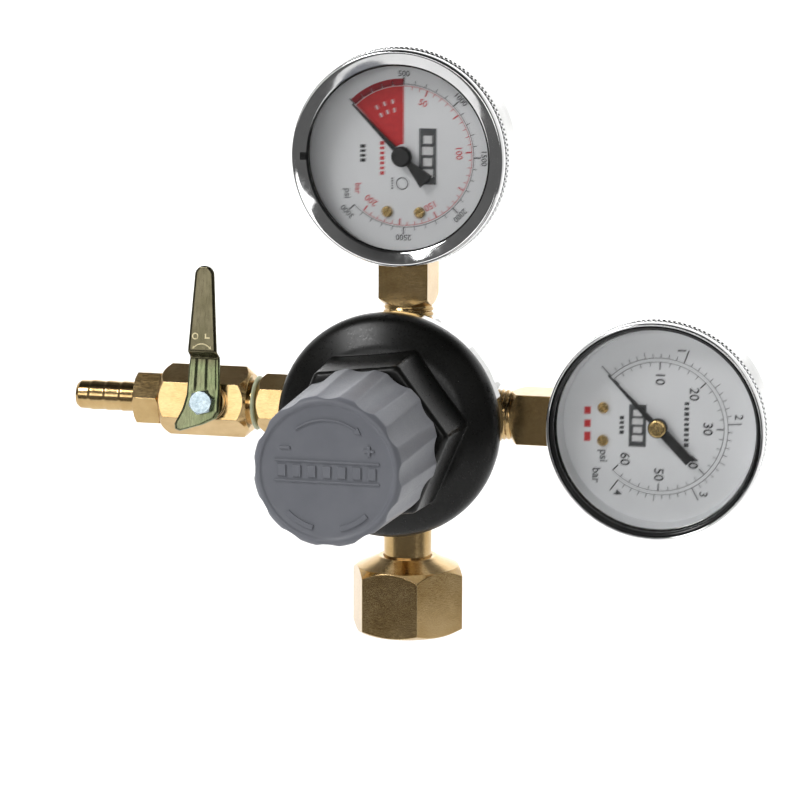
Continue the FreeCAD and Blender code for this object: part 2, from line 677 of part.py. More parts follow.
def adjusting_pieces():
    nut = new_body("bonnet_nut")
    pad(nut, "nut_low", "hole_low", polygon(6, "nut_flats"),
        ("circle", "0", "0", "screw_radius + running_gap"))
    button = turned_body("spring_button", [
        ("0", "spring_high - pilot_height"),
        ("pilot_radius", "spring_high - pilot_height"),
        ("pilot_radius", "spring_high"),
        ("button_radius", "spring_high"),
        ("button_radius", "screw_tip"),
        ("screw_radius + 4", "screw_tip + 2"),
        ("screw_radius + 0.3", "screw_tip + 2"),
        ("screw_radius + 0.3", "screw_tip"),
        ("0", "screw_tip"),
    ])
    screw = turned_body("adjusting_screw", [
        ("0", "screw_tip"),
        ("screw_radius - 1", "screw_tip"),
        ("screw_radius", "screw_tip + 1"),
        ("screw_radius", "screw_tip + screw_thread"),
        ("screw_flats / 2 / cos(30)", "screw_tip + screw_thread"),
        ("screw_flats / 2 / cos(30)", "screw_tip + screw_length"),
        ("0", "screw_tip + screw_length"),
    ])
    mill(screw, 6, "screw_flats", "screw_tip + screw_thread", "screw_tip + screw_length")
    spring = coil("range_spring", "spring_radius", "spring_wire", "spring_low", "spring_high", 4)
    rings = [
        snap_ring("sleeve_ring", "sleeve_flats * 0.6 + 0.2", "sleeve_bore + 0.6",
                  "flange_top + 0.1", "ring_top"),
        snap_ring("knob_ring", "sleeve_nose - 0.6", "sleeve_nose + 0.9",
                  "groove_low + 0.2", "groove_low + 0.2 + snap_wide"),
    ]
    return [put(piece, FRONT) for piece in (nut, button, screw, spring)] + rings


# ---- inlet ----

def inlet_pieces():
    corner = "inlet_flats / 2 / cos(30)"
    nut = turned_body("inlet_nut", [
        ("inlet_thread", "0"),
        ("inlet_flats / 2 - 0.3", "0"),
        (corner, "1.4"),
        (corner, "inlet_height - 2.1"),
        ("inlet_flats / 2", "inlet_height"),
        ("nipple_tube + 2.4", "inlet_top - 0.5"),
        ("nipple_tube + 1.4", "inlet_top"),
        ("nipple_tube + sliding_gap", "inlet_top"),
        ("nipple_tube + sliding_gap", "cone_top + 0.6"),
        ("inlet_relief", "head_low + head_straight + 0.3"),
        ("inlet_relief", "inlet_thread_length"),
        ("inlet_thread", "inlet_thread_length"),
    ])
    mill(nut, 6, "inlet_flats", "0", "inlet_height", "inlet_turn")
    port_low = "axis_height - port_face"
    nipple = turned_body("inlet_nipple", [
        ("filter_radius", "head_low"),
        ("nipple_head", "head_low"),
        ("nipple_head", "head_low + head_straight"),
        ("nipple_tube", "cone_top"),
        ("nipple_tube", port_low),
        ("port_thread", port_low),
        ("port_thread", f"{port_low} + port_depth"),
        ("drill", f"{port_low} + port_depth"),
        ("drill", "head_low + filter_length + 0.5"),
        ("filter_radius", "head_low + filter_length + 0.5"),
    ])
    strainer = turned_body("inlet_filter", ring("0", "filter_radius", "head_low + 0.5",
                                                "head_low + filter_length + 0.5"))
    washer = turned_body("inlet_washer", ring("washer_hole", "washer_radius", "washer_low", "head_low"))
    return [put(piece, INLET) for piece in (nut, nipple, strainer, washer)]


# ---- relief valve ----

def relief_pieces():
    body = turned_body("relief_body", [
        ("1", "relief_low"),
        ("relief_thread", "relief_low"),
        ("relief_thread", "relief_seat"),
        ("relief_flats / 2 / cos(30)", "relief_seat"),
        ("relief_flats / 2 / cos(30)", "relief_high - 0.5"),
        ("relief_flats / 2 - 0.2", "relief_high"),
        ("0.8", "relief_high"),
        ("0.8", "relief_high - 1"),
        ("relief_bore", "relief_high - 1"),
        ("relief_bore", "relief_low + 1"),
        ("1", "relief_low + 1"),
    ])
    mill(body, 6, "relief_flats", "relief_seat", "relief_high")
    poppet = turned_body("relief_poppet", [
        ("0", "relief_low + 1"), ("relief_bore - sliding_gap", "relief_low + 1"),
        ("relief_bore - sliding_gap", "relief_low + 2.6"), ("0", "relief_low + 2.6")])
    spring = coil("relief_spring", "relief_bore - 0.5", "0.4", "relief_low + 2.6", "relief_high - 1", 4)
    return [put(piece, RELIEF) for piece in (body, poppet, spring)]


# ---- outlet valve ----

def ball_seats():
    seats = []
    mouths = (("seat_mouth", "1"), ("seat_mouth_far", "-1"))
    for number, (mouth, inward) in enumerate(mouths, start=1):
        seat = turned_body(f"ball_seat_{number}", [
            ("ball_hole + 0.2", mouth),
            ("seat_bore", mouth),
            ("seat_bore", f"{mouth} + {inward} * seat_thick"),
            ("seat_bore - 1", f"{mouth} + {inward} * seat_thick"),
            ("ball_hole + 0.2", f"{mouth} + {inward} * (seat_thick - seat_bore + ball_hole + 1.2)"),
        ])
        seats.append(put(seat, OUTLET))
    return group("ball_seats", seats)


def valve_body():
    corner = "valve_flats / 2 / cos(30)"
    bar = turned_body("valve_bar", [
        ("seat_bore", "valve_low"),
        ("valve_flats / 2 - 0.6", "valve_low"),
        (corner, "valve_low + 2.2"),
        (corner, "valve_high - 1.6"),
        ("valve_flats / 2 - 0.2", "valve_high"),
        ("barb_thread", "valve_high"),
        ("barb_thread", "seat_mouth_far"),
        ("seat_bore", "seat_mouth_far"),
    ])
    mill(bar, 6, "valve_flats", "valve_low", "valve_high", "30")
    put(bar, OUTLET)
    gland = put(turned_body("valve_gland", ring("0", "gland_radius", "seat_bore + 1", "gland_front")),
                STEM)
    stem_hole = put(turned_body("stem_hole", [
        ("0", "ball_radius - 0.4"),
        ("stem_flange + sliding_gap", "ball_radius - 0.4"),
        ("stem_flange + sliding_gap", "stem_flange_front + 0.1"),
        ("stem_shaft + running_gap", "stem_flange_front + 0.1"),
        ("stem_shaft + running_gap", "gland_front - seal_length - 0.3"),
        ("seal_radius", "gland_front - seal_length - 0.3"),
        ("seal_radius", "gland_front + 1"),
        ("0", "gland_front + 1"),
    ]), STEM)
    return boolean("Cut", "valve_body", boolean("Fuse", "valve_blank", bar, gland), stem_hole)


def valve_ball():
    ball = doc.addObject("Part::Sphere", "ball_blank")
    ball.setExpression("Radius", ex("ball_radius"))
    put(ball, STEM)
    cutter = new_body("ball_cutter")
    turn(cutter, [("-10", "0"), ("-10", "ball_hole"), ("10", "ball_hole"), ("10", "0")],
         plane="YZ_Plane", axis="H_Axis")
    pad(cutter, "0", "ball_radius - 0.9", ("circle", "0", "0", "0.5"))
    pad(cutter, "ball_radius - 0.9", "ball_radius + 2", rectangle("-0.9", "0.9", "-2.8", "2.8"))
    put(cutter, STEM)
    return boolean("Cut", "valve_ball", ball, cutter)


def valve_stem():
    body = new_body("valve_stem")
    pad(body, "ball_radius - 0.8", "ball_radius + 0.3", rectangle("-0.8", "0.8", "-2.6", "2.6"))
    turn(body, [
        ("0", "ball_radius + 0.3"),
        ("stem_flange", "ball_radius + 0.3"),
        ("stem_flange", "stem_flange_front"),
        ("stem_shaft", "stem_flange_front"),
        ("stem_shaft", "lever_front"),
        ("0", "lever_front"),
    ])
    mill(body, 4, "stem_square", "lever_plane", "lever_front", "45")
    pocket(body, "lever_plane - 4", "lever_front", ("circle", "0", "0", "1"))
    return put(body, STEM)


def valve_lever():
    body = new_body("valve_lever")
    side_view = sketch_on(body, "YZ_Plane", [[
        ("-10", "lever_plane"),
        ("11.5", "lever_plane"),
        ("15", "lever_plane + lever_step"),
        ("lever_length + 1", "lever_plane + lever_step"),
        ("lever_length + 1", "lever_front + lever_step"),
        ("14.4", "lever_front + lever_step"),
        ("10.9", "lever_front"),
        ("-10", "lever_front"),
    ]])
    strip = body.newObject("PartDesign::Pad", "lever_strip")
    strip.Profile = side_view
    strip.Midplane = True
    strip.Length = 20
    tip = [(f"tip_radius * cos({angle})", f"lever_length - tip_radius + tip_radius * sin({angle})")
           for angle in range(0, 181, 30)]
    lower = [("-4.15", "13.5"), ("-4.5", "9"), ("-4.9", "2"), ("-6.0", "-2"), ("-8.2", "-6.4"),
             ("-8.0", "-7.9"), ("-6.6", "-8.4"), ("0", "-6.3"), ("3.8", "-4.4"), ("4.7", "-2.6"),
             ("4.7", "3"), ("4.4", "9"), ("4.25", "13.5")]
    outside = ("circle", "0", "0", "lever_length + 12")
    pocket(body, "lever_plane - 2", "lever_plane + lever_step + 4", outside, tip + lower)
    pocket(body, "lever_plane - 1", "lever_front", polygon(4, "stem_square", "45"))
    return put(body, STEM)


def outlet_pieces():
    corner = "adapter_flats / 2 / cos(30)"
    adapter = turned_body("outlet_adapter", [
        ("ball_hole", "tapped_low"),
        ("port_thread", "tapped_low"),
        ("port_thread", "adapter_shoulder"),
        ("adapter_flats / 2", "adapter_shoulder"),
        (corner, "adapter_shoulder + 1"),
        (corner, "adapter_end - 1.6"),
        ("adapter_flats / 2 - 0.5", "adapter_end"),
        ("seat_bore", "adapter_end"),
        ("seat_bore", "seat_mouth"),
        ("ball_hole", "seat_mouth"),
    ])
    mill(adapter, 6, "adapter_flats", "adapter_shoulder", "adapter_end", "30")
    barb_corner = "barb_flats / 2 / cos(30)"
    ridge_pitch = "(barb_end - barb_shoulder) / 4"
    tail = [("barb_radius", "barb_shoulder")]
    for ridge in range(1, 4):
        foot = f"barb_shoulder + {ridge} * {ridge_pitch}"
        tail.append(("barb_radius + barb_ridge", foot))
        tail.append(("barb_radius", f"{foot} + 0.9"))
    barb = turned_body("hose_barb", [
        ("barb_thread", "seat_mouth_far"),
        ("barb_thread", "valve_high"),
        ("barb_flats / 2", "valve_high"),
        (barb_corner, "valve_high + 0.8"),
        (barb_corner, "barb_shoulder - 0.6"),
        ("barb_flats / 2 + 0.2", "barb_shoulder"),
    ] + tail + [
        ("barb_radius - 0.1", "barb_end - 0.9"),
        ("barb_radius - 0.7", "barb_end"),
        ("barb_hole", "barb_end"),
        ("barb_hole", "check_end"),
        ("check_bore", "check_end"),
        ("check_bore", "seat_mouth_far"),
    ])
    mill(barb, 6, "barb_flats", "valve_high", "barb_shoulder")
    check_seat = turned_body("check_seat", ring("1.6", "check_bore", "seat_mouth_far + 1.5",
                                                "seat_mouth_far + 3.5"))
    check_poppet = turned_body("check_poppet", [
        ("0", "seat_mouth_far + 3.5"), ("check_bore - 0.8", "seat_mouth_far + 3.5"),
        ("check_bore - 0.8", "seat_mouth_far + 5.5"), ("1.4", "seat_mouth_far + 5.5"),
        ("1.4", "seat_mouth_far + 7.5"), ("0", "seat_mouth_far + 7.5")])
    check_spring = coil("check_spring", "2.1", "0.5", "seat_mouth_far + 5.5", "check_end", 5)
    seal = turned_body("stem_seal", ring("stem_shaft + running_gap", "seal_radius",
                                         "gland_front - seal_length - 0.3", "gland_front - 0.3"))
    head = turned_body("lever_screw", [
        ("0", "lever_plane - 4"),
        ("1", "lever_plane - 4"),
        ("1", "lever_front"),
        ("lever_screw_flats / 2 / cos(30)", "lever_front"),
        ("lever_screw_flats / 2 / cos(30)", "lever_front + lever_screw_head - 0.4"),
        ("lever_screw_flats / 2", "lever_front + lever_screw_head"),
        ("0", "lever_front + lever_screw_head"),
    ])
    mill(head, 6, "lever_screw_flats", "lever_front", "lever_front + lever_screw_head", "15")
    pieces = [put(piece, OUTLET) for piece in (adapter, barb, check_seat, check_poppet, check_spring)]
    pieces += [put(piece, STEM) for piece in (seal, head)]
    return pieces + [ball_seats(), valve_body(), valve_ball(), valve_stem(), valve_lever()]


# ---- gauges ----

def gear_points(pitch, teeth, first, count, centre_angle):
    """Straight-sided teeth with backlash; first is the first tooth's number on the full circle."""
    points = []
    profile = ((-0.66, -1.3), (-0.3, 0.7), (0.3, 0.7), (0.66, -1.3))
    for tooth in range(first, first + count):
        for across, outward in profile:
            radius = f"({pitch} + {outward} * gear_module)"
            angle = f"({centre_angle} + {tooth} * 360 / {teeth} + {across} * gear_module / ({pitch}) * 180 / pi)"
            points.append((f"{radius} * cos({angle})", f"{radius} * sin({angle})"))
    return points


def polar(radius, angle):
    return (f"({radius}) * cos({angle})", f"({radius}) * sin({angle})")


def gauge_socket(name, socket_place, dial_place):
    block = turned_body(name + "_block", [
        ("drill", "tapped_low"),
        ("port_thread", "tapped_low"),
        ("port_thread", "socket_shoulder"),
        ("socket_side / 2", "socket_shoulder"),
        ("socket_side / 2 / cos(45)", "socket_shoulder + 2.2"),
        ("socket_side / 2 / cos(45)", "socket_end"),
        ("drill", "socket_end"),
    ])
    mill(block, 4, "socket_side", "socket_shoulder", "socket_end", "45")
    pad(block, "socket_end", "neck_top", rectangle("-neck_half", "neck_half", "-dial_low", "neck_back"))
    pocket(block, "socket_end", "neck_top - 2", ("circle", "0", "0", "drill"))
    put(block, socket_place)
    tube_slot = turned_body(name + "_tube_slot", ring("tube_inner", "tube_outer", "-tube_half", "tube_half"))
    tools = [put(tube_slot, dial_place)]
    for number, side in enumerate(("", "-"), start=1):
        hole = turned_body(f"{name}_screw_hole_{number}", ring("0", "0.9", "dial_low - 3.5", "dial_top"))
        tools.append(put(hole, shifted(dial_place, side + "screw_apart", "-screw_reach")))
    return boolean("Cut", name + "_socket", block, group(name + "_socket_cuts", tools))


def gauge_case(name):
    case = turned_body(name + "_case", [
        ("0", "-case_back"),
        ("case_radius - 1", "-case_back"),
        ("case_radius", "1 - case_back"),
        ("case_radius", "lens_low - case_wall"),
        ("lens_radius", "lens_low - case_wall"),
        ("lens_radius", "lens_low"),
        ("case_radius - case_wall", "lens_low"),
        ("case_radius - case_wall", "1 - case_back + case_wall"),
        ("case_radius - case_wall - 1", "case_wall - case_back"),
        ("0", "case_wall - case_back"),
    ])
    pocket(case, "-neck_back", "dial_low",
           rectangle("-neck_half", "neck_half", "-case_radius - 2", "-case_radius / 2"))
    return case


def gauge_bezel(name):
    return turned_body(name + "_bezel", [
        ("lens_radius", "bezel_low"),
        ("bezel_radius", "bezel_low"),
        ("bezel_radius", "bezel_front - 1.3"),
        ("bezel_radius - 0.7", "bezel_front"),
        ("bezel_radius - 1.4", "bezel_front"),
        ("bezel_opening", "lens_high + 0.5"),
        ("bezel_opening", "lens_high"),
        ("lens_radius", "lens_high"),
    ])


def gauge_dial(name):
    dial = new_body(name + "_dial")
    holes = [("circle", side + "screw_apart", "-screw_reach", "0.9") for side in ("", "-")]
    pad(dial, "dial_low", "dial_top", ("circle", "0", "0", "dial_radius"),
        ("circle", "0", "0", "spindle_radius + 0.7"), *holes)
    return dial


def dial_screws(name, dial_place):
    screws = []
    for number, side in enumerate(("", "-"), start=1):
        screw = turned_body(f"{name}_dial_screw_{number}", [
            ("0", "dial_low - 3.5"),
            ("0.9", "dial_low - 3.5"),
            ("0.9", "dial_top"),
            ("dial_screw", "dial_top"),
            ("dial_screw", "dial_top + 0.6"),
            ("dial_screw - 0.3", "dial_top + 0.9"),
            ("0", "dial_top + 0.9"),
        ])
        pocket(screw, "dial_top + 0.4", "dial_top + 0.9", rectangle("-dial_screw", "dial_screw", "-0.2", "0.2"))
        screws.append(put(screw, shifted(dial_place, side + "screw_apart", "-screw_reach"), 25 * number))
    return group(name + "_dial_screws", screws)


def gauge_movement(name):
    """Two plates on three posts. They hold the spindle and the sector's arbor."""
    frame = new_body(name + "_movement")
    near = "neck_reach"
    plate = [
        ("-neck_half", f"-({near})"),
        ("neck_half", f"-({near})"),
        ("arbor_x + 3.3", "arbor_y - 3.7"),
        ("arbor_x + 3", "arbor_y + 3.3"),
        ("arbor_x + 2.6", "8"),
        ("-neck_half", "8"),
    ]
    bearings = [("circle", "0", "0", "spindle_radius + running_gap"),
                ("circle", "arbor_x", "arbor_y", "spindle_radius + running_gap")]
    pad(frame, "-4.6", "-3.8", plate, *bearings)
    posts = [("circle", "-4.5", "-9", "1.2"), ("circle", "-4.5", "5.6", "1.2"),
             ("circle", "arbor_x + 0.8", "6.2", "1.2")]
    pad(frame, "-3.8", "3", *posts)
    pad(frame, "3", "3.8", plate, *bearings)
    return frame


def gauge_spindle(name):
    spindle = turned_body(name + "_spindle", ring("0", "spindle_radius", "-4.6", "pointer_low + 1"))
    teeth = int(value("pinion_teeth"))
    pad(spindle, "-1", "1", gear_points("gear_module * pinion_teeth / 2", "pinion_teeth", 0, teeth,
                                        "sector_direction"))
    return spindle


def gauge_sector(name):
    """The toothed sector on its arbor, with a tail whose pin the link pulls."""
    sector = turned_body(name + "_sector", ring("0", "spindle_radius", "-4.6", "3.8"))
    pitch = "gear_module * sector_teeth / 2"
    toothed_edge = gear_points(pitch, "sector_teeth", -10, 12,
                               "180 + sector_direction + 180 / sector_teeth")
    body = [polar("2.2", "215"), polar("tail_arm + 1", "-58"), polar("tail_arm + 1", "-32"),
            polar("2.2", "55")]
    pad(sector, "-0.6", "0.6", toothed_edge + body)
    pad(sector, "0.6", "2", ("circle", *polar("tail_arm", "-45"), "pin_radius"))
    return sector


def gauge_link(name):
    link = new_body(name + "_link")
    end_x, end_y = polar("link_length", "-62")
    half = "pin_radius * 2"
    outline = [
        (f"{half} * cos(28)", f"{half} * sin(28)"),
        (f"{half} * cos(118)", f"{half} * sin(118)"),
        (f"-{half} * cos(28)", f"-{half} * sin(28)"),
        (f"{end_x} - {half} * cos(28)", f"{end_y} - {half} * sin(28)"),
        (f"{end_x} - {half} * cos(118)", f"{end_y} - {half} * sin(118)"),
        (f"{end_x} + {half} * cos(28)", f"{end_y} + {half} * sin(28)"),
    ]
    holes = [("circle", x, y, "pin_radius + running_gap") for x, y in (("0", "0"), (end_x, end_y))]
    pad(link, "0.8", "1.6", outline, *holes)
    return link


def bourdon_tube(name, dial_place):
    tube = new_body(name + "_tube")
    turn(tube, ring("tube_inner", "tube_outer", "-tube_half", "tube_half"),
         angle="tube_sweep", clockwise=True)
    turn(tube, ring("tube_inner + 0.4", "tube_outer - 0.4", "0.4 - tube_half", "tube_half - 0.4"),
         angle="tube_sweep - 3", clockwise=True, cut=True)
    put(tube, dial_place, value("tube_root"))
    lug = new_body(name + "_tube_lug")
    tip = "tube_root - tube_sweep + 1"
    pad(lug, "1.9", "tube_half", [
        polar("tube_outer", tip),
        polar("tube_inner", tip),
        ("link_x - 0.9", "link_y - 0.9"),
        ("link_x + 0.9", "link_y - 0.9"),
    ])
    pad(lug, "0.7", "1.9", ("circle", "link_x", "link_y", "pin_radius"))
    put(lug, dial_place)
    return boolean("Fuse", name + "_bourdon_tube", tube, lug)


def gauge_pointer(name, tail, tail_half):
    pointer = new_body(name + "_pointer")
    blade = [
        ("pointer_length", "-0.2"), ("pointer_length", "0.2"),
        ("2", "0.75"), ("-3", "0.9"), (f"-{tail}", tail_half),
        (f"-{tail}", f"-{tail_half}"), ("-3", "-0.9"), ("2", "-0.75"),
    ]
    pad(pointer, "pointer_low", "pointer_low + 0.5", blade)
    turn(pointer, [
        ("0", "pointer_low"),
        ("hub_radius", "pointer_low"),
        ("hub_radius", "pointer_low + 1.4"),
        ("hub_radius - 0.6", "pointer_low + 2"),
        ("0", "pointer_low + 2"),
    ])
    pocket(pointer, "pointer_low", "pointer_low + 1", ("circle", "0", "0", "spindle_radius"))
    return pointer


def gauge_pieces(name, socket_place, dial_place, pointer_direction, tail, tail_half):
    centred = [gauge_case(name), gauge_bezel(name), gauge_dial(name), gauge_movement(name),
               gauge_spindle(name),
               turned_body(name + "_lens", ring("0", "lens_radius", "lens_low", "lens_high"))]
    pieces = [put(piece, dial_place) for piece in centred]
    pieces.append(put(gauge_sector(name), shifted(dial_place, "arbor_x", "arbor_y")))
    pieces.append(put(gauge_link(name), shifted(dial_place, "tail_x", "tail_y")))
    pieces.append(put(gauge_pointer(name, tail, tail_half), dial_place, pointer_direction))
    pieces.append(gauge_socket(name, socket_place, dial_place))
    pieces.append(dial_screws(name, dial_place))
    pieces.append(bourdon_tube(name, dial_place))
    return pieces


# ---- the whole regulator ----

pieces = body_pieces() + [bonnet(), knob(), drive_sleeve()] + adjusting_pieces()
pieces += inlet_pieces() + relief_pieces() + outlet_pieces()
pieces += gauge_pieces("tank_gauge", TANK_SOCKET, TANK_DIAL, 135, "9.7", "2.35")
pieces += gauge_pieces("line_gauge", LINE_SOCKET, LINE_DIAL, 225, "12.8", "1.5")
doc.recompute()

for item in doc.Objects:
    if "Invalid" in item.State or "Error" in item.State:
        raise RuntimeError(f"{item.Label} did not compute: {item.State}")

os.makedirs("parts", exist_ok=True)
for piece in pieces:
    shape = piece.Shape
    if shape.isNull() or not shape.isValid() or shape.Volume <= 0:
        raise RuntimeError(f"{piece.Label} has no valid solid")
    shape.exportStep(f"parts/{piece.Label}.step")
    box = shape.BoundBox
    print(f"{piece.Label:28s} {len(shape.Solids)} {shape.Volume:10.1f} mm3"
          f"  x {box.XMin:7.1f} {box.XMax:7.1f}  y {box.YMin:7.1f} {box.YMax:7.1f}"
          f"  z {box.ZMin:7.1f} {box.ZMax:7.1f}")
print(len(pieces), "nodes")
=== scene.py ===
import json
import math

import bmesh
import bpy
from mathutils import Matrix, Vector


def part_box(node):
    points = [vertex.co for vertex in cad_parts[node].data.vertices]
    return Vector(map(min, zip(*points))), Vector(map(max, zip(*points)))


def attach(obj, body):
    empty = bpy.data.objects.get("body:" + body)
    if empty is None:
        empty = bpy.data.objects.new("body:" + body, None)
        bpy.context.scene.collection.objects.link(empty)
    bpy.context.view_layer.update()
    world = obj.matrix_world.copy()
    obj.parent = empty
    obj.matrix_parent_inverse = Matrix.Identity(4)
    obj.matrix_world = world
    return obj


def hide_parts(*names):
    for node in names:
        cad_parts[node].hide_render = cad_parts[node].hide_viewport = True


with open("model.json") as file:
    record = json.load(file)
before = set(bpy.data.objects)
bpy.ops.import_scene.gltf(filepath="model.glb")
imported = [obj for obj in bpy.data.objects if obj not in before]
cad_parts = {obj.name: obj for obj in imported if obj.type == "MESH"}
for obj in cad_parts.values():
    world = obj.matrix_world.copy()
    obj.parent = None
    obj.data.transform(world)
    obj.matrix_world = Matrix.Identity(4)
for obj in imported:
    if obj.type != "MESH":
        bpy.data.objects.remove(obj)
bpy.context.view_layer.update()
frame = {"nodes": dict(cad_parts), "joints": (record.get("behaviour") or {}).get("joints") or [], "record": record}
nodes = frame["nodes"]
scene = bpy.context.scene

MM = 0.001

# ---- places, in millimetres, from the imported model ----

dial_low, dial_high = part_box("tank_gauge_dial")
TANK_CENTRE = (dial_low + dial_high) / 2 / MM
line_low, line_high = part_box("line_gauge_dial")
LINE_CENTRE = (line_low + line_high) / 2 / MM
AXIS_HEIGHT = LINE_CENTRE.z
DIAL_FRONT = -dial_low.y / MM          # the dial's printed face, in front of the stem's axis
bezel_low, bezel_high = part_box("tank_gauge_bezel")
BEZEL_FRONT = -bezel_low.y / MM
BEZEL_BACK = -bezel_high.y / MM
BEZEL_RADIUS = (bezel_high.x - bezel_low.x) / 2 / MM
knob_low, knob_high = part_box("knob")
KNOB_BACK = -knob_high.y / MM
KNOB_FRONT = -knob_low.y / MM
KNOB_BASE = (knob_high.x - knob_low.x) / 2 / MM
pivot = next(joint for joint in frame["joints"] if joint["name"] == "lever_turn")
LEVER_AXIS = Vector(pivot["axis"])
LEVER_PIVOT = Vector(pivot["pos_m"]) / MM


def place(origin, forward=Vector((0, -1, 0)), up=Vector((0, 0, 1))):
    """A frame whose z axis points forward and whose y axis is up, at a point in millimetres."""
    forward = forward.normalized()
    right = up.cross(forward).normalized()
    upward = forward.cross(right)
    rows = Matrix((right, upward, forward)).transposed().to_4x4()
    return Matrix.Translation(Vector(origin) * MM) @ rows @ Matrix.Scale(MM, 4)


FRONT = place((0, 0, AXIS_HEIGHT))
TANK = place((0, 0, TANK_CENTRE.z))
LINE = place((LINE_CENTRE.x, 0, AXIS_HEIGHT))
TANK_STEM = place((0, 0, AXIS_HEIGHT), forward=Vector((0, 0, 1)), up=Vector((0, 1, 0)))
LINE_STEM = place((0, 0, AXIS_HEIGHT), forward=Vector((1, 0, 0)))
OUTLET_STEM = place((0, 0, AXIS_HEIGHT), forward=Vector((-1, 0, 0)))
LEVER = place(LEVER_PIVOT, forward=LEVER_AXIS)


# ---- materials ----

class Finish:
    """A material made of nodes: mottled colour and roughness, a fine relief, and softened edges."""

    def __init__(self, name, metallic=0.0, **uniform):
        self.material = bpy.data.materials.new(name)
        self.material.use_nodes = True
        self.tree = self.material.node_tree
        self.shader = self.tree.nodes["Principled BSDF"]
        self.shader.inputs["Metallic"].default_value = metallic
        for socket, value in uniform.items():
            self.shader.inputs[socket.replace("_", " ")].default_value = value
        self.coords = self.node("ShaderNodeTexCoord").outputs["Object"]

    def node(self, kind, settings=(), **inputs):
        made = self.tree.nodes.new(kind)
        for key, value in dict(settings).items():
            setattr(made, key, value)
        for key, value in inputs.items():
            socket = made.inputs[key.replace("_", " ")]
            if isinstance(value, bpy.types.NodeSocket):
                self.tree.links.new(value, socket)
            else:
                socket.default_value = value
        return made

    def noise(self, scale, detail=3.0, stretch=(1, 1, 1), roughness=0.5):
        mapping = self.node("ShaderNodeMapping", Vector=self.coords, Scale=stretch)
        made = self.node("ShaderNodeTexNoise", Vector=mapping.outputs[0], Scale=scale, Detail=detail,
                         Roughness=roughness)
        return made.outputs["Fac"]

    def ranged(self, value, low, high, start=0.3, end=0.7):
        made = self.node("ShaderNodeMapRange", Value=value, From_Min=start, From_Max=end,
                         To_Min=low, To_Max=high)
        return made.outputs[0]

    def mixed(self, factor, first, second):
        made = self.node("ShaderNodeMix", {"data_type": "RGBA"})
        self.tree.links.new(factor, made.inputs[0])
        for socket, value in ((made.inputs[6], first), (made.inputs[7], second)):
            if isinstance(value, bpy.types.NodeSocket):
                self.tree.links.new(value, socket)
            else:
                socket.default_value = (*value, 1)
        return made.outputs[2]

    def edges(self, radius):
        """1 on an edge and 0 on a flat face, and the softened normal."""
        bevel = self.node("ShaderNodeBevel", {"samples": 6}, Radius=radius * MM)
        normal = self.node("ShaderNodeNewGeometry").outputs["Normal"]
        dot = self.node("ShaderNodeVectorMath", {"operation": "DOT_PRODUCT"})
        self.tree.links.new(bevel.outputs[0], dot.inputs[0])
        self.tree.links.new(normal, dot.inputs[1])
        worn = self.ranged(dot.outputs["Value"], 1.0, 0.0, 0.75, 0.99)
        return worn, bevel.outputs[0]

    def colour(self, value):
        self.tree.links.new(value, self.shader.inputs["Base Color"])

    def roughness(self, value):
        self.tree.links.new(value, self.shader.inputs["Roughness"])

    def relief(self, height, strength, distance=0.02, normal=None):
        bump = self.node("ShaderNodeBump", Height=height, Strength=strength, Distance=distance * MM)
        if normal is not None:
            self.tree.links.new(normal, bump.inputs["Normal"])
        self.tree.links.new(bump.outputs[0], self.shader.inputs["Normal"])


def metal(name, dark, light, rough=(0.1, 0.2), blotch=180, stretch=(1, 1, 1), grain=3000,
          relief=0.15, rounding=0.25, worn=None, worn_amount=0.5, **uniform):
    """Bare or plated metal: slow blotches of tone, fine tool marks along one direction, polished edges."""
    finish = Finish(name, 1.0, **uniform)
    blotches = finish.noise(blotch, 4.0, roughness=0.6)
    marks = finish.noise(grain, 4.0, stretch)
    tone = finish.mixed(finish.ranged(blotches, 0, 1), dark, light)
    edge, normal = finish.edges(rounding)
    if worn:
        scuffed = finish.node("ShaderNodeMath", {"operation": "MULTIPLY"})
        finish.tree.links.new(edge, scuffed.inputs[0])
        finish.tree.links.new(finish.ranged(blotches, worn_amount, 0.2), scuffed.inputs[1])
        tone = finish.mixed(scuffed.outputs[0], tone, worn)
    finish.colour(tone)
    finish.roughness(finish.ranged(marks, *rough))
    finish.relief(marks, relief, normal=normal)
    return finish.material


def coating(name, dark, light, rough=(0.35, 0.5), blotch=250, grain=1800, relief=0.3, rounding=0.4,
            distance=0.03, **uniform):
    """Paint or moulded plastic: a fine even skin with a slow change of tone."""
    finish = Finish(name, 0.0, **uniform)
    blotches = finish.noise(blotch, 3.0)
    skin = finish.noise(grain, 3.0)
    finish.colour(finish.mixed(finish.ranged(blotches, 0, 1), dark, light))
    finish.roughness(finish.ranged(skin, *rough))
    finish.relief(skin, relief, distance, finish.edges(rounding)[1])
    return finish.material


def ink(name, dark, light, rough=(0.45, 0.6), blotch=900):
    """Print on a dial: a thin film whose edges are hardly rounded."""
    return coating("ink_" + name, dark, light, rough, blotch, rounding=0.02)


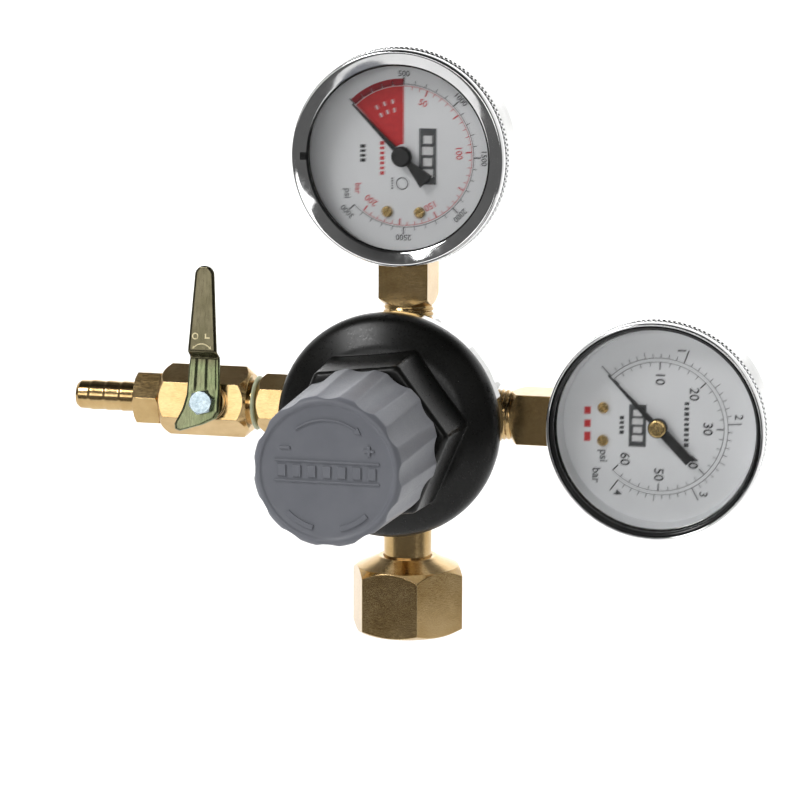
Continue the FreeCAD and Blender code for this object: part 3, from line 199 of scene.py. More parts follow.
def lever_zinc():
    """Zinc with an olive passivation that turns green towards the pivot and drifts along the sheet."""
    finish = Finish("plated_lever", 1.0)
    drift = finish.noise(70, 3.0, (1, 1, 0.5))
    patches = finish.noise(260, 5.0)
    height = finish.node("ShaderNodeSeparateXYZ", Vector=finish.coords).outputs["Z"]
    joggle = (LEVER_PIVOT.z + 13.5) * MM
    upper = finish.mixed(finish.ranged(drift, 0, 1), (0.085, 0.078, 0.042), (0.115, 0.10, 0.06))
    lower = finish.mixed(finish.ranged(drift, 0, 1), (0.13, 0.17, 0.075), (0.24, 0.27, 0.15))
    olive = finish.mixed(finish.ranged(height, 0, 1, joggle - 0.002, joggle + 0.001), lower, upper)
    finish.colour(finish.mixed(finish.ranged(patches, 0, 0.45), olive, (0.16, 0.14, 0.09)))
    scratches = finish.noise(2500, 3.0, (1, 1, 0.06))
    finish.roughness(finish.ranged(scratches, 0.16, 0.30))
    finish.relief(scratches, 0.12, normal=finish.edges(0.3)[1])
    return finish.material


def lens_glass():
    finish = Finish("clear_lens", 0.0, Transmission_Weight=1.0, IOR=1.3, Alpha=0.2)
    haze = finish.noise(40, 2.0)
    finish.colour(finish.mixed(finish.ranged(haze, 0, 1), (0.96, 0.97, 0.97), (1.0, 1.0, 1.0)))
    finish.roughness(finish.ranged(haze, 0.0, 0.015))
    return finish.material


BRASS_DARK, BRASS_LIGHT, BRASS_WORN = (0.50, 0.33, 0.135), (0.66, 0.47, 0.23), (0.86, 0.70, 0.46)
CHROME_DARK, CHROME_LIGHT = (0.56, 0.56, 0.55), (0.70, 0.70, 0.69)

MATERIALS = {
    "polished_brass": metal("polished_brass", BRASS_DARK, BRASS_LIGHT, (0.12, 0.24), 120, (1, 1, 6), 900,
                            0.2, 0.35, BRASS_WORN, 0.8),
    "turned_brass": metal("turned_brass", (0.50, 0.35, 0.14), (0.72, 0.52, 0.25), (0.18, 0.32), 400,
                          (1, 6, 1), 1600, 0.3, 0.15, BRASS_WORN, 0.5),
    "plated_body": metal("plated_body", CHROME_DARK, CHROME_LIGHT, (0.08, 0.16), 90, (1, 1, 1), 700,
                         0.25, 0.4),
    "plated_case": metal("plated_case", CHROME_DARK, CHROME_LIGHT, (0.06, 0.12), 60, (1, 4, 1), 500,
                         0.12, 0.3),
    "bright_bezel": metal("bright_bezel", (0.70, 0.70, 0.70), (0.84, 0.84, 0.84), (0.05, 0.11), 80,
                          (1, 1, 1), 600, 0.1, 0.15),
    "plated_ball": metal("plated_ball", CHROME_DARK, CHROME_LIGHT, (0.04, 0.08)),
    "zinc_screw": metal("zinc_screw", (0.30, 0.38, 0.42), (0.50, 0.58, 0.62), (0.18, 0.30), 500,
                        (1, 1, 1), 1500, 0.3, 0.25, (0.75, 0.80, 0.82), 0.7),
    "plain_steel": metal("plain_steel", (0.45, 0.45, 0.44), (0.62, 0.62, 0.61), (0.2, 0.35), 300),
    "spring_steel": metal("spring_steel", (0.30, 0.30, 0.29), (0.48, 0.48, 0.47), (0.25, 0.4), 500),
    "sintered_bronze": metal("sintered_bronze", (0.25, 0.17, 0.10), (0.50, 0.36, 0.20), (0.5, 0.8), 900,
                             grain=5000, relief=1.0),
    "bourdon_bronze": metal("bourdon_bronze", (0.45, 0.29, 0.14), (0.60, 0.42, 0.23), (0.2, 0.35), 200),
    "plated_lever": lever_zinc(),
    "clear_lens": lens_glass(),
    "black_bonnet": coating("black_bonnet", (0.0045, 0.0045, 0.004), (0.008, 0.008, 0.007), (0.26, 0.36),
                            200, 1500, 0.3, 0.6, Specular_IOR_Level=0.32),
    "knob_plastic": coating("knob_plastic", (0.185, 0.192, 0.218), (0.21, 0.218, 0.244), (0.36, 0.5),
                            120, 2600, 0.35, 0.3),
    "washer_fibre": coating("washer_fibre", (0.20, 0.20, 0.17), (0.26, 0.26, 0.22), (0.5, 0.7), 600),
    "diaphragm_rubber": coating("diaphragm_rubber", (0.02, 0.02, 0.02), (0.035, 0.035, 0.035), (0.6, 0.8)),
    "seal_plastic": coating("seal_plastic", (0.78, 0.76, 0.70), (0.88, 0.87, 0.83), (0.35, 0.5)),
    "printed_dial": coating("printed_dial", (0.74, 0.75, 0.76), (0.80, 0.81, 0.82), (0.38, 0.5), 60,
                            3500, 0.12, 0.1),
    "pointer_black": coating("pointer_black", (0.012, 0.012, 0.012), (0.02, 0.02, 0.02), (0.4, 0.55),
                             400, 3000, 0.2, 0.1),
}
INK_BLACK = ink("black", (0.012, 0.012, 0.014), (0.028, 0.028, 0.03))
INK_RED = ink("red", (0.52, 0.025, 0.03), (0.62, 0.035, 0.035))
INK_DARK_RED = ink("dark_red", (0.30, 0.01, 0.02), (0.38, 0.015, 0.025))
INK_GREY = ink("grey", (0.055, 0.057, 0.06), (0.09, 0.092, 0.095), (0.3, 0.5), 700)
INK_WHITE = ink("white", (0.62, 0.62, 0.62), (0.72, 0.72, 0.72))
# Painted highlight: a light gold for the lever's embossed marks. It stands for the light that their raised edges
# catch.
MARK_GOLD_HIGHLIGHT = metal("mark_gold", (0.42, 0.37, 0.22), (0.60, 0.52, 0.33), (0.25, 0.4), 600, rounding=0.03)
WASHER_CREAM = coating("washer_cream", (0.50, 0.55, 0.36), (0.62, 0.66, 0.46), (0.3, 0.45), 500,
                       rounding=0.2)
# Glossy black for the seal rings. It is partly painted shade: the dark ring also stands for the shadow at each
# bezel's inner edge.
GASKET_AND_SHADE = coating("gasket", (0.006, 0.006, 0.006), (0.014, 0.014, 0.014), (0.12, 0.22), 700, rounding=0.1)

subpart_slot = {part["node"]: part["material_slot"] for part in frame["record"]["subparts"]}
for node, obj in nodes.items():
    obj.data.materials.clear()
    obj.data.materials.append(MATERIALS[subpart_slot[node]])


# ---- mesh builders, in millimetres in a place's own frame ----

def piece(name, bm, at, material, body, replaces=(), smooth=35):
    """A mesh of the object: placed, painted, and riding on a body."""
    bmesh.ops.remove_doubles(bm, verts=bm.verts, dist=0.0005)
    bmesh.ops.recalc_face_normals(bm, faces=bm.faces)
    mesh = bpy.data.meshes.new(name)
    bm.to_mesh(mesh)
    bm.free()
    mesh.transform(at)
    mesh.polygons.foreach_set("use_smooth", [True] * len(mesh.polygons))
    mesh.set_sharp_from_angle(angle=math.radians(smooth))
    mesh.materials.append(material)
    obj = bpy.data.objects.new(name, mesh)
    scene.collection.objects.link(obj)
    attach(obj, body)
    if replaces:
        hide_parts(*replaces)
    return obj


def softened(outline, radius, steps=4):
    """An outline whose inner corners are rounded by up to a radius."""
    smooth = [Vector(outline[0])]
    for before, corner, after in zip(outline, outline[1:], outline[2:]):
        before, corner, after = Vector(before), Vector(corner), Vector(after)
        cut_in = min(radius, (corner - before).length * 0.45)
        cut_out = min(radius, (after - corner).length * 0.45)
        start = corner + (before - corner).normalized() * cut_in
        end = corner + (after - corner).normalized() * cut_out
        for step in range(steps + 1):
            t = step / steps
            smooth.append(start * (1 - t) ** 2 + corner * 2 * t * (1 - t) + end * t ** 2)
    return smooth + [Vector(outline[-1])]


def lathe(bm, outline, segments=96, reach=None, closed=False):
    """Turns an outline of (radius, height) about z. reach(radius, height, angle) may change the radius."""
    rings = []
    for radius, height in outline:
        ring = []
        for step in range(segments):
            angle = 2 * math.pi * step / segments
            r = reach(radius, height, angle) if reach else radius
            ring.append(bm.verts.new((r * math.cos(angle), r * math.sin(angle), height)))
        rings.append(ring)
    pairs = list(zip(rings, rings[1:]))
    if closed:
        pairs.append((rings[-1], rings[0]))
    for lower, upper in pairs:
        for step in range(segments):
            following = (step + 1) % segments
            bm.faces.new((lower[step], lower[following], upper[following], upper[step]))


def plate(bm, points, low, high):
    """A flat prism between two heights."""
    bottom = [bm.verts.new((x, y, low)) for x, y in points]
    top = [bm.verts.new((x, y, high)) for x, y in points]
    bm.faces.new(top)
    bm.faces.new(bottom[::-1])
    for index in range(len(points)):
        following = (index + 1) % len(points)
        bm.faces.new((bottom[index], bottom[following], top[following], top[index]))


def block(bm, left, bottom, right, top, low, high):
    """A flat prism with four square corners."""
    plate(bm, [(left, bottom), (right, bottom), (right, top), (left, top)], low, high)


def clock(radius, degrees):
    """The point at an angle clockwise from straight up."""
    angle = math.radians(degrees)
    return (radius * math.sin(angle), radius * math.cos(angle))


def band(bm, inner, outer, start, end, low, high, step=3.0, centre=(0, 0)):
    """Part of a ring, from one clock angle to another."""
    count = max(2, round(abs(end - start) / step))
    sections = []
    for index in range(count + 1):
        degrees = start + (end - start) * index / count
        corners = ((inner, low), (outer, low), (outer, high), (inner, high))
        points = [(*clock(radius, degrees), height) for radius, height in corners]
        sections.append([bm.verts.new((x + centre[0], y + centre[1], z)) for x, y, z in points])
    for first, second in zip(sections, sections[1:]):
        for side in range(4):
            following = (side + 1) % 4
            bm.faces.new((first[side], first[following], second[following], second[side]))
    if abs(end - start) < 360:
        bm.faces.new(sections[0])
        bm.faces.new(sections[-1][::-1])


def tick(bm, inner, outer, degrees, width, low, high):
    """A mark of a scale: a short bar that points at the dial's middle."""
    turned = Matrix.Rotation(-math.radians(degrees), 2)
    corners = [(-width / 2, inner), (width / 2, inner), (width / 2, outer), (-width / 2, outer)]
    plate(bm, [turned @ Vector(corner) for corner in corners], low, high)


def lettering(bm, words, size, centre, turn, low, high):
    """Plain figures or a unit, whose middle is at centre and whose top is turned clockwise from up."""
    curve = bpy.data.curves.new("lettering", "FONT")
    curve.body = words
    curve.size = size
    curve.align_x = "CENTER"
    curve.align_y = "CENTER"
    curve.extrude = (high - low) / 2
    curve.resolution_u = 3
    curve.offset = size * 0.012
    holder = bpy.data.objects.new("lettering", curve)
    scene.collection.objects.link(holder)
    bpy.context.view_layer.update()
    mesh = bpy.data.meshes.new_from_object(holder.evaluated_get(bpy.context.evaluated_depsgraph_get()))
    turned = Matrix.Translation((centre[0], centre[1], (low + high) / 2)) @ Matrix.Rotation(
        -math.radians(turn), 4, "Z")
    mesh.transform(turned)
    bm.from_mesh(mesh)
    bpy.data.objects.remove(holder)
    bpy.data.meshes.remove(mesh)
    bpy.data.curves.remove(curve)


# ---- knob ----

FLUTES = 12
FLUTE_RADIUS = 9.0
FLUTE_DEPTH = 1.1
FLUTE_TAPER = 0.6                        # how much of the knob's taper the flutes follow
KNOB_TOP = 19.7                          # the knob's radius at its face
RIM_HEIGHT = 0.5
SKIRT_WALL, SKIRT_DEPTH = 2.6, 14


def knob_reach(radius, height, angle):
    """The knob's side with its finger flutes, which grow shallower towards the face."""
    rise = (height - KNOB_BACK) / (KNOB_FRONT - KNOB_BACK)
    distance = KNOB_BASE + FLUTE_RADIUS - FLUTE_DEPTH - (KNOB_BASE - KNOB_TOP) * FLUTE_TAPER * rise
    pitch = 2 * math.pi / FLUTES
    away = (angle + pitch / 2) % pitch - pitch / 2
    under_root = FLUTE_RADIUS ** 2 - (distance * math.sin(away)) ** 2
    if under_root <= 0 or radius < KNOB_TOP - 3:
        return radius
    flute = distance * math.cos(away) - math.sqrt(under_root)
    gap = flute - radius
    soften = 0.12
    return radius + min(0, gap) - max(0, soften - abs(gap)) ** 2 / (4 * soften)


def knob():
    """A tapered shell with a raised rim, and the marks embossed on its face."""
    face = KNOB_FRONT - RIM_HEIGHT
    outline = [(KNOB_BASE - SKIRT_WALL, KNOB_BACK + SKIRT_DEPTH), (KNOB_BASE - SKIRT_WALL, KNOB_BACK),
               (KNOB_BASE, KNOB_BACK)]
    rows = 14
    for row in range(1, rows):
        t = row / rows
        outline.append((KNOB_BASE + (KNOB_TOP + 0.2 - KNOB_BASE) * t,
                        KNOB_BACK + (KNOB_FRONT - 1 - KNOB_BACK) * t))
    outline += [(KNOB_TOP + 0.2, KNOB_FRONT - 1), (KNOB_TOP - 0.9, KNOB_FRONT),
                (KNOB_TOP - 1.8, KNOB_FRONT), (KNOB_TOP - 2.3, face), (0.01, face)]
    bm = bmesh.new()
    lathe(bm, softened(outline, 0.55), 360, knob_reach)
    piece("knob_shell", bm, FRONT, MATERIALS["knob_plastic"], "knob", ["knob"], 50)

    bm = bmesh.new()
    raised = (face - 0.05, face + 0.42)
    band(bm, 13.4, 13.9, -38, 34, *raised)
    plate(bm, [clock(12.7, 34), clock(14.6, 34), clock(13.65, 42)], *raised)
    block(bm, -12.6, 5.6, -9.8, 6.3, *raised)
    arm, half = 1.4, 0.35
    quarter = [(half, arm), (half, half), (arm, half)]
    plus = [Matrix.Rotation(-turn * math.pi / 2, 2) @ Vector(corner) for turn in range(4)
            for corner in quarter]
    plate(bm, [(11.2 + x, 5.95 + y) for x, y in plus], *raised)
    for side in (-1, 1):
        band(bm, 14.6, 15.9, 180 + side * 14, 180 + side * 44, *raised)
    for height in (2.4, -2.9):
        block(bm, -14, height, 14, height + 0.5, *raised)
    for number in range(-3, 4):
        middle = number * 4.0
        block(bm, middle - 1.1, -1.5, middle + 1.1, 1.5, *raised)
    piece("knob_marks", bm, FRONT, MATERIALS["knob_plastic"], "knob")


# ---- gauges ----

PRINT = (DIAL_FRONT, DIAL_FRONT + 0.06)
OVERPRINT = (DIAL_FRONT, DIAL_FRONT + 0.1)
ZERO = -45.0                             # clock angles of the scales' ends
FULL = 225.0
FULL_BAR = FULL - 9
DIAL_UP = 90.0                           # the units and the line gauge's figures lean to the right


def angle_of(value, full_value, full_angle=FULL):
    """The clock angle of a value on a scale."""
    return ZERO + (full_angle - ZERO) * value / full_value


def small_print(bm, x, y, length, width, count, upright):
    """A line of dashes that stands for small print."""
    pitch = length / count
    for number in range(count):
        middle = (number + 0.5) * pitch - length / 2
        half = pitch * (0.28 if number % 3 else 0.36)
        across, along = (width / 2, half) if upright else (half, width / 2)
        mx, my = (x, y + middle) if upright else (x + middle, y)
        block(bm, mx - across, my - along, mx + across, my + along, *PRINT)


def badge(name, at, x, width, height):
    """A dark label with a plain stepped pattern."""
    bm = bmesh.new()
    block(bm, x - width / 2, -height / 2, x + width / 2, height / 2, *PRINT)
    piece(name + "_badge", bm, at, INK_GREY, "regulator")
    bm = bmesh.new()
    for number in range(4):
        middle = (number - 1.5) * height / 5
        long = width * (0.5 if number % 2 else 0.62)
        block(bm, x - long / 2, middle - height / 14, x + long / 2, middle + height / 14, *OVERPRINT)
    piece(name + "_badge_pattern", bm, at, INK_WHITE, "regulator")


def tank_dial():
    """The high-pressure scales: psi outside, bar inside, and a red sector at the low end."""
    black, red, dark_red, white = (bmesh.new() for colour in range(4))
    band(black, 19.72, 19.88, ZERO, FULL, *PRINT)
    band(red, 19.2, 19.34, ZERO + 45, FULL_BAR, *PRINT)
    for count in range(31):
        major = count % 5 == 0
        tick(black, 19.8, 21.8 if major else 20.9, angle_of(count, 30), 0.34 if major else 0.17,
             *OVERPRINT)
        if major and count:
            degrees = angle_of(count, 30)
            lettering(black, str(count * 100), 2.2, clock(22.6, degrees), degrees, *PRINT)
    for count in range(41):
        degrees = angle_of(count * 5, 200, FULL_BAR)
        major = count % 5 == 0
        if degrees > 1:
            tick(red, 17.5 if major else 18.3, 19.25, degrees, 0.38 if major else 0.17, *PRINT)
        if count % 10 == 0 and count:
            lettering(red, str(count * 5), 2.5, clock(15.6, degrees), degrees, *PRINT)
    band(red, 3.2, 19.2, ZERO, 0, *PRINT)
    band(dark_red, 19.35, 21.3, ZERO, 0, PRINT[0], PRINT[1] - 0.02)
    for count in range(6):
        tick(white, 19.4, 20.6, ZERO + count * 9, 0.18, *OVERPRINT)
    for row in range(2):
        for column in range(3):
            tick(white, 14.6 - row * 2.4, 15.8 - row * 2.4, -12 + column * -9, 0.5, *OVERPRINT)
    lettering(black, "psi", 2.6, (-16.0, -10.9), DIAL_UP, *PRINT)
    lettering(red, "bar", 2.3, (-13.0, -9.4), DIAL_UP, *PRINT)
    small_print(black, -11.6, 0.4, 5.2, 1.5, 4, True)
    small_print(red, -6.1, -0.8, 9.7, 1.2, 7, True)
    band(black, 1.45, 1.75, 0, 360, *PRINT, step=12, centre=(-0.4, -7.7))
    small_print(black, -3.2, -7.7, 3.4, 0.5, 5, True)
    piece("tank_scale_black", black, TANK, INK_BLACK, "regulator")
    piece("tank_scale_red", red, TANK, INK_RED, "regulator")
    piece("tank_scale_dark_red", dark_red, TANK, INK_DARK_RED, "regulator")
    piece("tank_scale_white", white, TANK, INK_WHITE, "regulator")
    badge("tank", TANK, 6.8, 4.9, 15.5)


def line_dial():
    """The low-pressure scales: psi inside and bar outside."""
    black, red = bmesh.new(), bmesh.new()
    band(black, 17.93, 18.07, ZERO, FULL, *PRINT)
    band(black, 19.03, 19.17, ZERO, FULL_BAR, *PRINT)
    for count in range(31):
        major = count % 5 == 0
        tick(black, 15.9 if major else 16.9, 18.0, angle_of(count, 30), 0.32 if major else 0.15,
             *OVERPRINT)
        if major and count:
            degrees = angle_of(count, 30)
            lettering(black, str(count * 2), 3.7, clock(13.4, degrees), DIAL_UP, *PRINT)
    for count in range(41):
        degrees = angle_of(count, 40, FULL_BAR)
        major = count % 10 == 0
        outer = 22.9 if major else (20.9 if count % 5 == 0 else 20.3)
        tick(black, 19.1, outer, degrees, 0.3 if major else 0.15, *OVERPRINT)
        if major and count:
            lettering(black, str(count // 10), 3.2, clock(22.2, degrees - 5), DIAL_UP, *PRINT)
    lettering(black, "psi", 3.2, (-15.4, -8.9), DIAL_UP, *PRINT)
    lettering(black, "bar", 3.2, (-17.4, -14.4), DIAL_UP, *PRINT)
    small_print(black, 7.6, 1.0, 13.0, 1.3, 9, True)
    small_print(black, -10.4, 0, 5.4, 1.2, 4, True)
    small_print(red, -20.0, 0, 11.0, 1.8, 3, True)
    piece("line_scale_black", black, LINE, INK_BLACK, "regulator")
    piece("line_scale_red", red, LINE, INK_RED, "regulator")
    badge("line", LINE, -6.0, 4.8, 11.8)


KNURLS = 132
KNURL_LOW = BEZEL_BACK + 0.5
KNURL_HIGH = BEZEL_BACK + 2.3


def knurled(radius, height, angle):
    """Fine upright teeth around the skirt."""
    if radius < BEZEL_RADIUS - 0.45 or not KNURL_LOW < height < KNURL_HIGH:
        return radius
    return radius - 0.16 - 0.16 * math.cos(KNURLS * angle)


def bezel(name, at, wall, lip, slope, opening, lens_front):
    """A spun ring: knurled skirt, straight wall, rolled lip and a slope down to the lens."""
    outline = [
        (BEZEL_RADIUS - 1.35, BEZEL_BACK + 0.05),
        (BEZEL_RADIUS - 0.1, BEZEL_BACK + 0.1),
        (BEZEL_RADIUS, KNURL_LOW + 0.05),
        (BEZEL_RADIUS, (KNURL_LOW + KNURL_HIGH) / 2),
        (BEZEL_RADIUS, KNURL_HIGH - 0.05),
        (BEZEL_RADIUS - 0.75, KNURL_HIGH + 0.2),
        (wall, KNURL_HIGH + 0.6),
        (wall, BEZEL_FRONT - 1.0),
        (lip, BEZEL_FRONT - 0.05),
        (slope, BEZEL_FRONT - 0.3),
        (opening + 0.15, lens_front + 0.55),
        (opening, lens_front + 0.03),
        (BEZEL_RADIUS - 1.35, lens_front + 0.03),
    ]
    bm = bmesh.new()
    lathe(bm, softened(outline, 0.6), KNURLS * 6, knurled, closed=True)
    piece(name + "_ring", bm, at, MATERIALS["bright_bezel"], "regulator",
          [name + "_gauge_bezel"], 60)


def gasket(name, at, outline):
    """The black seal that shows between a bezel and its lens. It is also painted shade: a dark ring that stands
    for the shadow at the bezel's inner edge.
    """
    bm = bmesh.new()
    lathe(bm, softened(outline, 0.3), 200, closed=True)
    piece(name + "_gasket", bm, at, GASKET_AND_SHADE, "regulator")


def line_pointer():
    """A straight-sided counterweight, a long taper, and a brass cap over the hub."""
    low = -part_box("line_gauge_pointer")[1].y / MM
    at = LINE @ Matrix.Rotation(math.radians(45), 4, "Z")
    bm = bmesh.new()
    plate(bm, [(-0.16, 19.8), (-0.8, 2.0), (-1.3, -2.2), (-1.45, -12.7), (1.45, -12.7), (1.3, -2.2),
               (0.8, 2.0), (0.16, 19.8)], low, low + 0.5)
    lathe(bm, softened([(0.01, low + 1.6), (2.7, low + 1.6), (2.7, low - 0.1), (0.01, low - 0.1)], 0.3), 48)
    piece("line_pointer_blade", bm, at, MATERIALS["pointer_black"], "line_pointer",
          ["line_gauge_pointer"])
    bm = bmesh.new()
    lathe(bm, softened([(0.01, low + 2.0), (2.2, low + 2.0), (2.6, low + 1.5), (0.01, low + 1.5)], 0.4), 48)
    piece("line_pointer_cap", bm, at, MATERIALS["turned_brass"], "line_pointer")


def gauges():
    """The dials' print, the line pointer, and each gauge's bezel, black seal ring (partly painted shade) and small
    parts.
    """
    lens_front = -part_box("tank_gauge_lens")[0].y / MM
    seat = lens_front + 0.02
    tank_dial()
    line_dial()
    line_pointer()
    bezel("tank", TANK, wall=BEZEL_RADIUS - 0.35, lip=29.4, slope=28.6, opening=25.5,
          lens_front=lens_front)
    gasket("tank", TANK, [(25.3, seat), (25.3, lens_front + 0.2), (25.8, lens_front + 0.75), (25.8, seat)])
    # Painted shade: a black block at nine o'clock stands for the shaded gap of the bezel's notch.
    bm = bmesh.new()
    band(bm, 25.7, 27.4, -92.2, -87.8, lens_front + 0.5, lens_front + 1.3)
    piece("tank_bezel_notch", bm, TANK, GASKET_AND_SHADE, "regulator")
    bezel("line", LINE, wall=BEZEL_RADIUS - 0.15, lip=29.8, slope=29.2, opening=28.95,
          lens_front=lens_front)
    gasket("line", LINE, [(28.0, seat), (28.0, lens_front + 0.6), (28.4, BEZEL_FRONT - 0.8),
                          (28.95, BEZEL_FRONT - 0.6), (28.95, seat)])
    rim_back, rim_front, rim_radius = DIAL_FRONT + 0.02, 11.6, 27.55
    rim = [(26.75, rim_back), (27.4, rim_front), (rim_radius, rim_front), (rim_radius, rim_back)]
    bm = bmesh.new()
    lathe(bm, softened(rim, 0.1), 200, closed=True)
    piece("line_dial_rim", bm, LINE, MATERIALS["printed_dial"], "regulator")


# ---- threads that show ----

PIPE_START, PIPE_END = 25.6, 30.35       # regulator axis to the ends of the thread
PIPE_CREST, PIPE_ROOT = 7.15, 6.62       # radii
PIPE_PITCH = 1.41


def thread(name, at, low, high, crest, root, pitch):
    """A screw thread as a helical ridge around a stem."""
    def reach(radius, height, angle):
        turn = (height / pitch + angle / (2 * math.pi)) % 1
        fade = min(1.0, (height - low) / pitch, (high - height) / pitch)
        return root + (crest - root) * max(0.0, fade) * (1 - abs(2 * turn - 1))

    rows = round((high - low) / pitch * 10)
    outline = [(root, low + (high - low) * row / rows) for row in range(rows + 1)]
    bm = bmesh.new()
    lathe(bm, outline, 64, reach)
    piece(name, bm, at, MATERIALS["polished_brass"], "regulator", smooth=25)


def threads():
    """The pipe thread that shows between each gauge's socket and its port."""
    for gauge, stem in (("tank", TANK_STEM), ("line", LINE_STEM)):
        thread(gauge + "_socket_thread", stem, PIPE_START, PIPE_END, PIPE_CREST, PIPE_ROOT, PIPE_PITCH)


def outlet_washer():
    """The soft washer between the outlet's hexagon and the valve's lock thread."""
    start = -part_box("valve_body")[1].x / MM - 2.2
    bore, edge, rim, thick = 5.0, 7.2, 7.9, 1.1
    bm = bmesh.new()
    ring = [(bore, start), (edge, start), (rim, start + thick / 2), (edge, start + thick),
            (bore, start + thick)]
    lathe(bm, softened(ring, 0.5), 96, closed=True)
    piece("outlet_washer", bm, OUTLET_STEM, WASHER_CREAM, "regulator")


# ---- bonnet ----

RIM = 20.0                               # ports' plane to the bonnet's back
FLANGE = 31.3                            # the flange's radius
FLANGE_BORE = 26.4
FLANGE_FRONT = 31.5                      # ports' plane to the foot of the tower
TOWER_FRONT = 50.0
TOWER_BASE_HALF = 21.15                  # half across flats
TOWER_FRONT_HALF = 20.1
TOWER_TURN = 7.0                         # degrees
TOWER_CORNER = 1.138                     # half across the rounded corners, for a half across flats of 1
NECK = 14.2                              # the neck's radius, inside the knob
NECK_BORE = 9.2
NECK_FRONT = 60.0
SPLINES = 18


def tower_reach(radius, height, angle):
    """Six flats with slightly rounded corners; the neck inside them stays round."""
    if radius < NECK + 2:
        return radius
    away = abs((angle - math.radians(TOWER_TURN)) % (math.pi / 3) - math.pi / 6)
    return min(radius / math.cos(away), radius * TOWER_CORNER)


def neck_reach(radius, height, angle):
    """Splines around the neck, tallest where the knob locks on them."""
    pitch = 2 * math.pi / SPLINES
    away = abs((angle + pitch / 2) % pitch - pitch / 2)
    if abs(radius - NECK) > 0.1 or away > math.radians(3.6):
        return radius
    return radius + (1.1 if NECK_FRONT - 5.5 <= height <= NECK_FRONT - 2.5 else 0.4)


def bonnet():
    """A round flange, a hexagon tower and a splined neck, in one piece."""
    bm = bmesh.new()
    flange = [(FLANGE_BORE, RIM + 0.05), (FLANGE - 1.0, RIM + 0.05), (FLANGE, RIM + 1.3),
              (FLANGE, RIM + 4.4), (FLANGE - 1.1, RIM + 6.8), (FLANGE - 3.6, RIM + 8.4),
              (22.6, FLANGE_FRONT - 0.4), (18, FLANGE_FRONT - 0.1)]
    lathe(bm, softened(flange, 1.6, 6), 192)
    tower = [(TOWER_BASE_HALF, RIM + 8.6), (TOWER_FRONT_HALF + 0.05, TOWER_FRONT - 0.9),
             (TOWER_FRONT_HALF - 0.9, TOWER_FRONT), (NECK + 1.4, TOWER_FRONT),
             (NECK + 0.6, TOWER_FRONT - 0.3)]
    lathe(bm, softened(tower, 0.45, 3), 360, tower_reach)
    neck = [(NECK, TOWER_FRONT - 0.4 + step * 0.5) for step in range(20)]
    neck += [(NECK - 0.6, NECK_FRONT), (NECK_BORE, NECK_FRONT), (NECK_BORE, TOWER_FRONT + 2)]
    lathe(bm, neck, 360, neck_reach)
    piece("bonnet_shell", bm, FRONT, MATERIALS["black_bonnet"], "regulator", ["bonnet"], 42)


# ---- lever ----

LEVER_FRONT = 13.4                       # flow axis to the front of the lever's lower part
LEVER_THICK = 1.4
LEVER_STEP = 3.0                         # height of the joggle
LEVER_TAIL = -8.35                       # pivot to the end below it
LEVER_ROWS, LEVER_COLUMNS = 190, 30
ROLL_DEPTH, ROLL_WIDTH = 0.55, 0.9       # the rounding of the sheet's edges
CHANNEL_DEPTH = 0.42
TIP_RADIUS = 2.75
# Each edge as (across, along) from the pivot's axis, up to where the straight taper starts.
LEFT_EDGE = ((-8.4, -6.6), (-7.9, -8.0), (-6.4, -8.2), (-2, -6.0), (2, -4.9), (9, -4.5), (13.5, -4.15))
RIGHT_EDGE = ((-8.4, -6.6), (-6.3, 0.0), (-4.4, 3.8), (-2.6, 4.7), (3, 4.7), (9, 4.4), (13.5, 4.25))


def eased(value, start, end):
    """A smooth step from 0 to 1 between start and end."""
    t = min(1.0, max(0.0, (value - start) / (end - start)))
    return t * t * (3 - 2 * t)


def edge_at(edge, along, tip_start, side):
    """Where an edge of the lever lies at a distance from the pivot."""
    if along >= tip_start:
        return side * math.sqrt(max(0.0, TIP_RADIUS ** 2 - (along - tip_start) ** 2))
    points = edge + ((tip_start, side * TIP_RADIUS),)
    for (low, first), (high, second) in zip(points, points[1:]):
        if along <= high:
            return first + (second - first) * (along - low) / (high - low)
    return side * TIP_RADIUS


def lever_faces(length):
    """The points of the lever's front and back, row by row from its tail to its tip."""
    tip_start = length - TIP_RADIUS
    front, back = [], []
    for row in range(LEVER_ROWS + 1):
        along = LEVER_TAIL + (length - LEVER_TAIL) * row / LEVER_ROWS
        left = edge_at(LEFT_EDGE, along, tip_start, -1)
        right = edge_at(RIGHT_EDGE, along, tip_start, 1)
        base = LEVER_FRONT + LEVER_STEP * eased(along, 12.4, 14.6)
        fade = eased(along, 0.5, 5.0) * (1 - eased(along, 12.2, 13.4))
        front_row, back_row = [], []
        for column in range(LEVER_COLUMNS + 1):
            share = (1 - math.cos(math.pi * column / LEVER_COLUMNS)) / 2
            across = left + (right - left) * share
            rim = min(across - left, right - across, length - along + 0.05)
            rolled = ROLL_DEPTH * max(0.0, 1 - rim / ROLL_WIDTH) ** 2
            channel = CHANNEL_DEPTH * (0.5 - 0.5 * math.cos(6 * math.pi * share))
            front_row.append((across, along, base - rolled - channel * fade))
            back_row.append((across, along, base - LEVER_THICK + 0.02))
        front.append(front_row)
        back.append(back_row)
    return front, back


def closed_sheet(bm, front, back):
    """A solid between two grids of points, with walls along its four sides."""
    top, bottom = ([[bm.verts.new(point) for point in row] for row in side] for side in (front, back))
    rows, columns = len(front) - 1, len(front[0]) - 1
    for sheet in (top, bottom):
        for first, second in zip(sheet, sheet[1:]):
            for column in range(columns):
                bm.faces.new((first[column], first[column + 1], second[column + 1], second[column]))
    for row in range(rows):
        for column in (0, columns):
            bm.faces.new((top[row][column], top[row + 1][column],
                          bottom[row + 1][column], bottom[row][column]))
    for row in (0, rows):
        for column in range(columns):
            bm.faces.new((top[row][column], top[row][column + 1],
                          bottom[row][column + 1], bottom[row][column]))


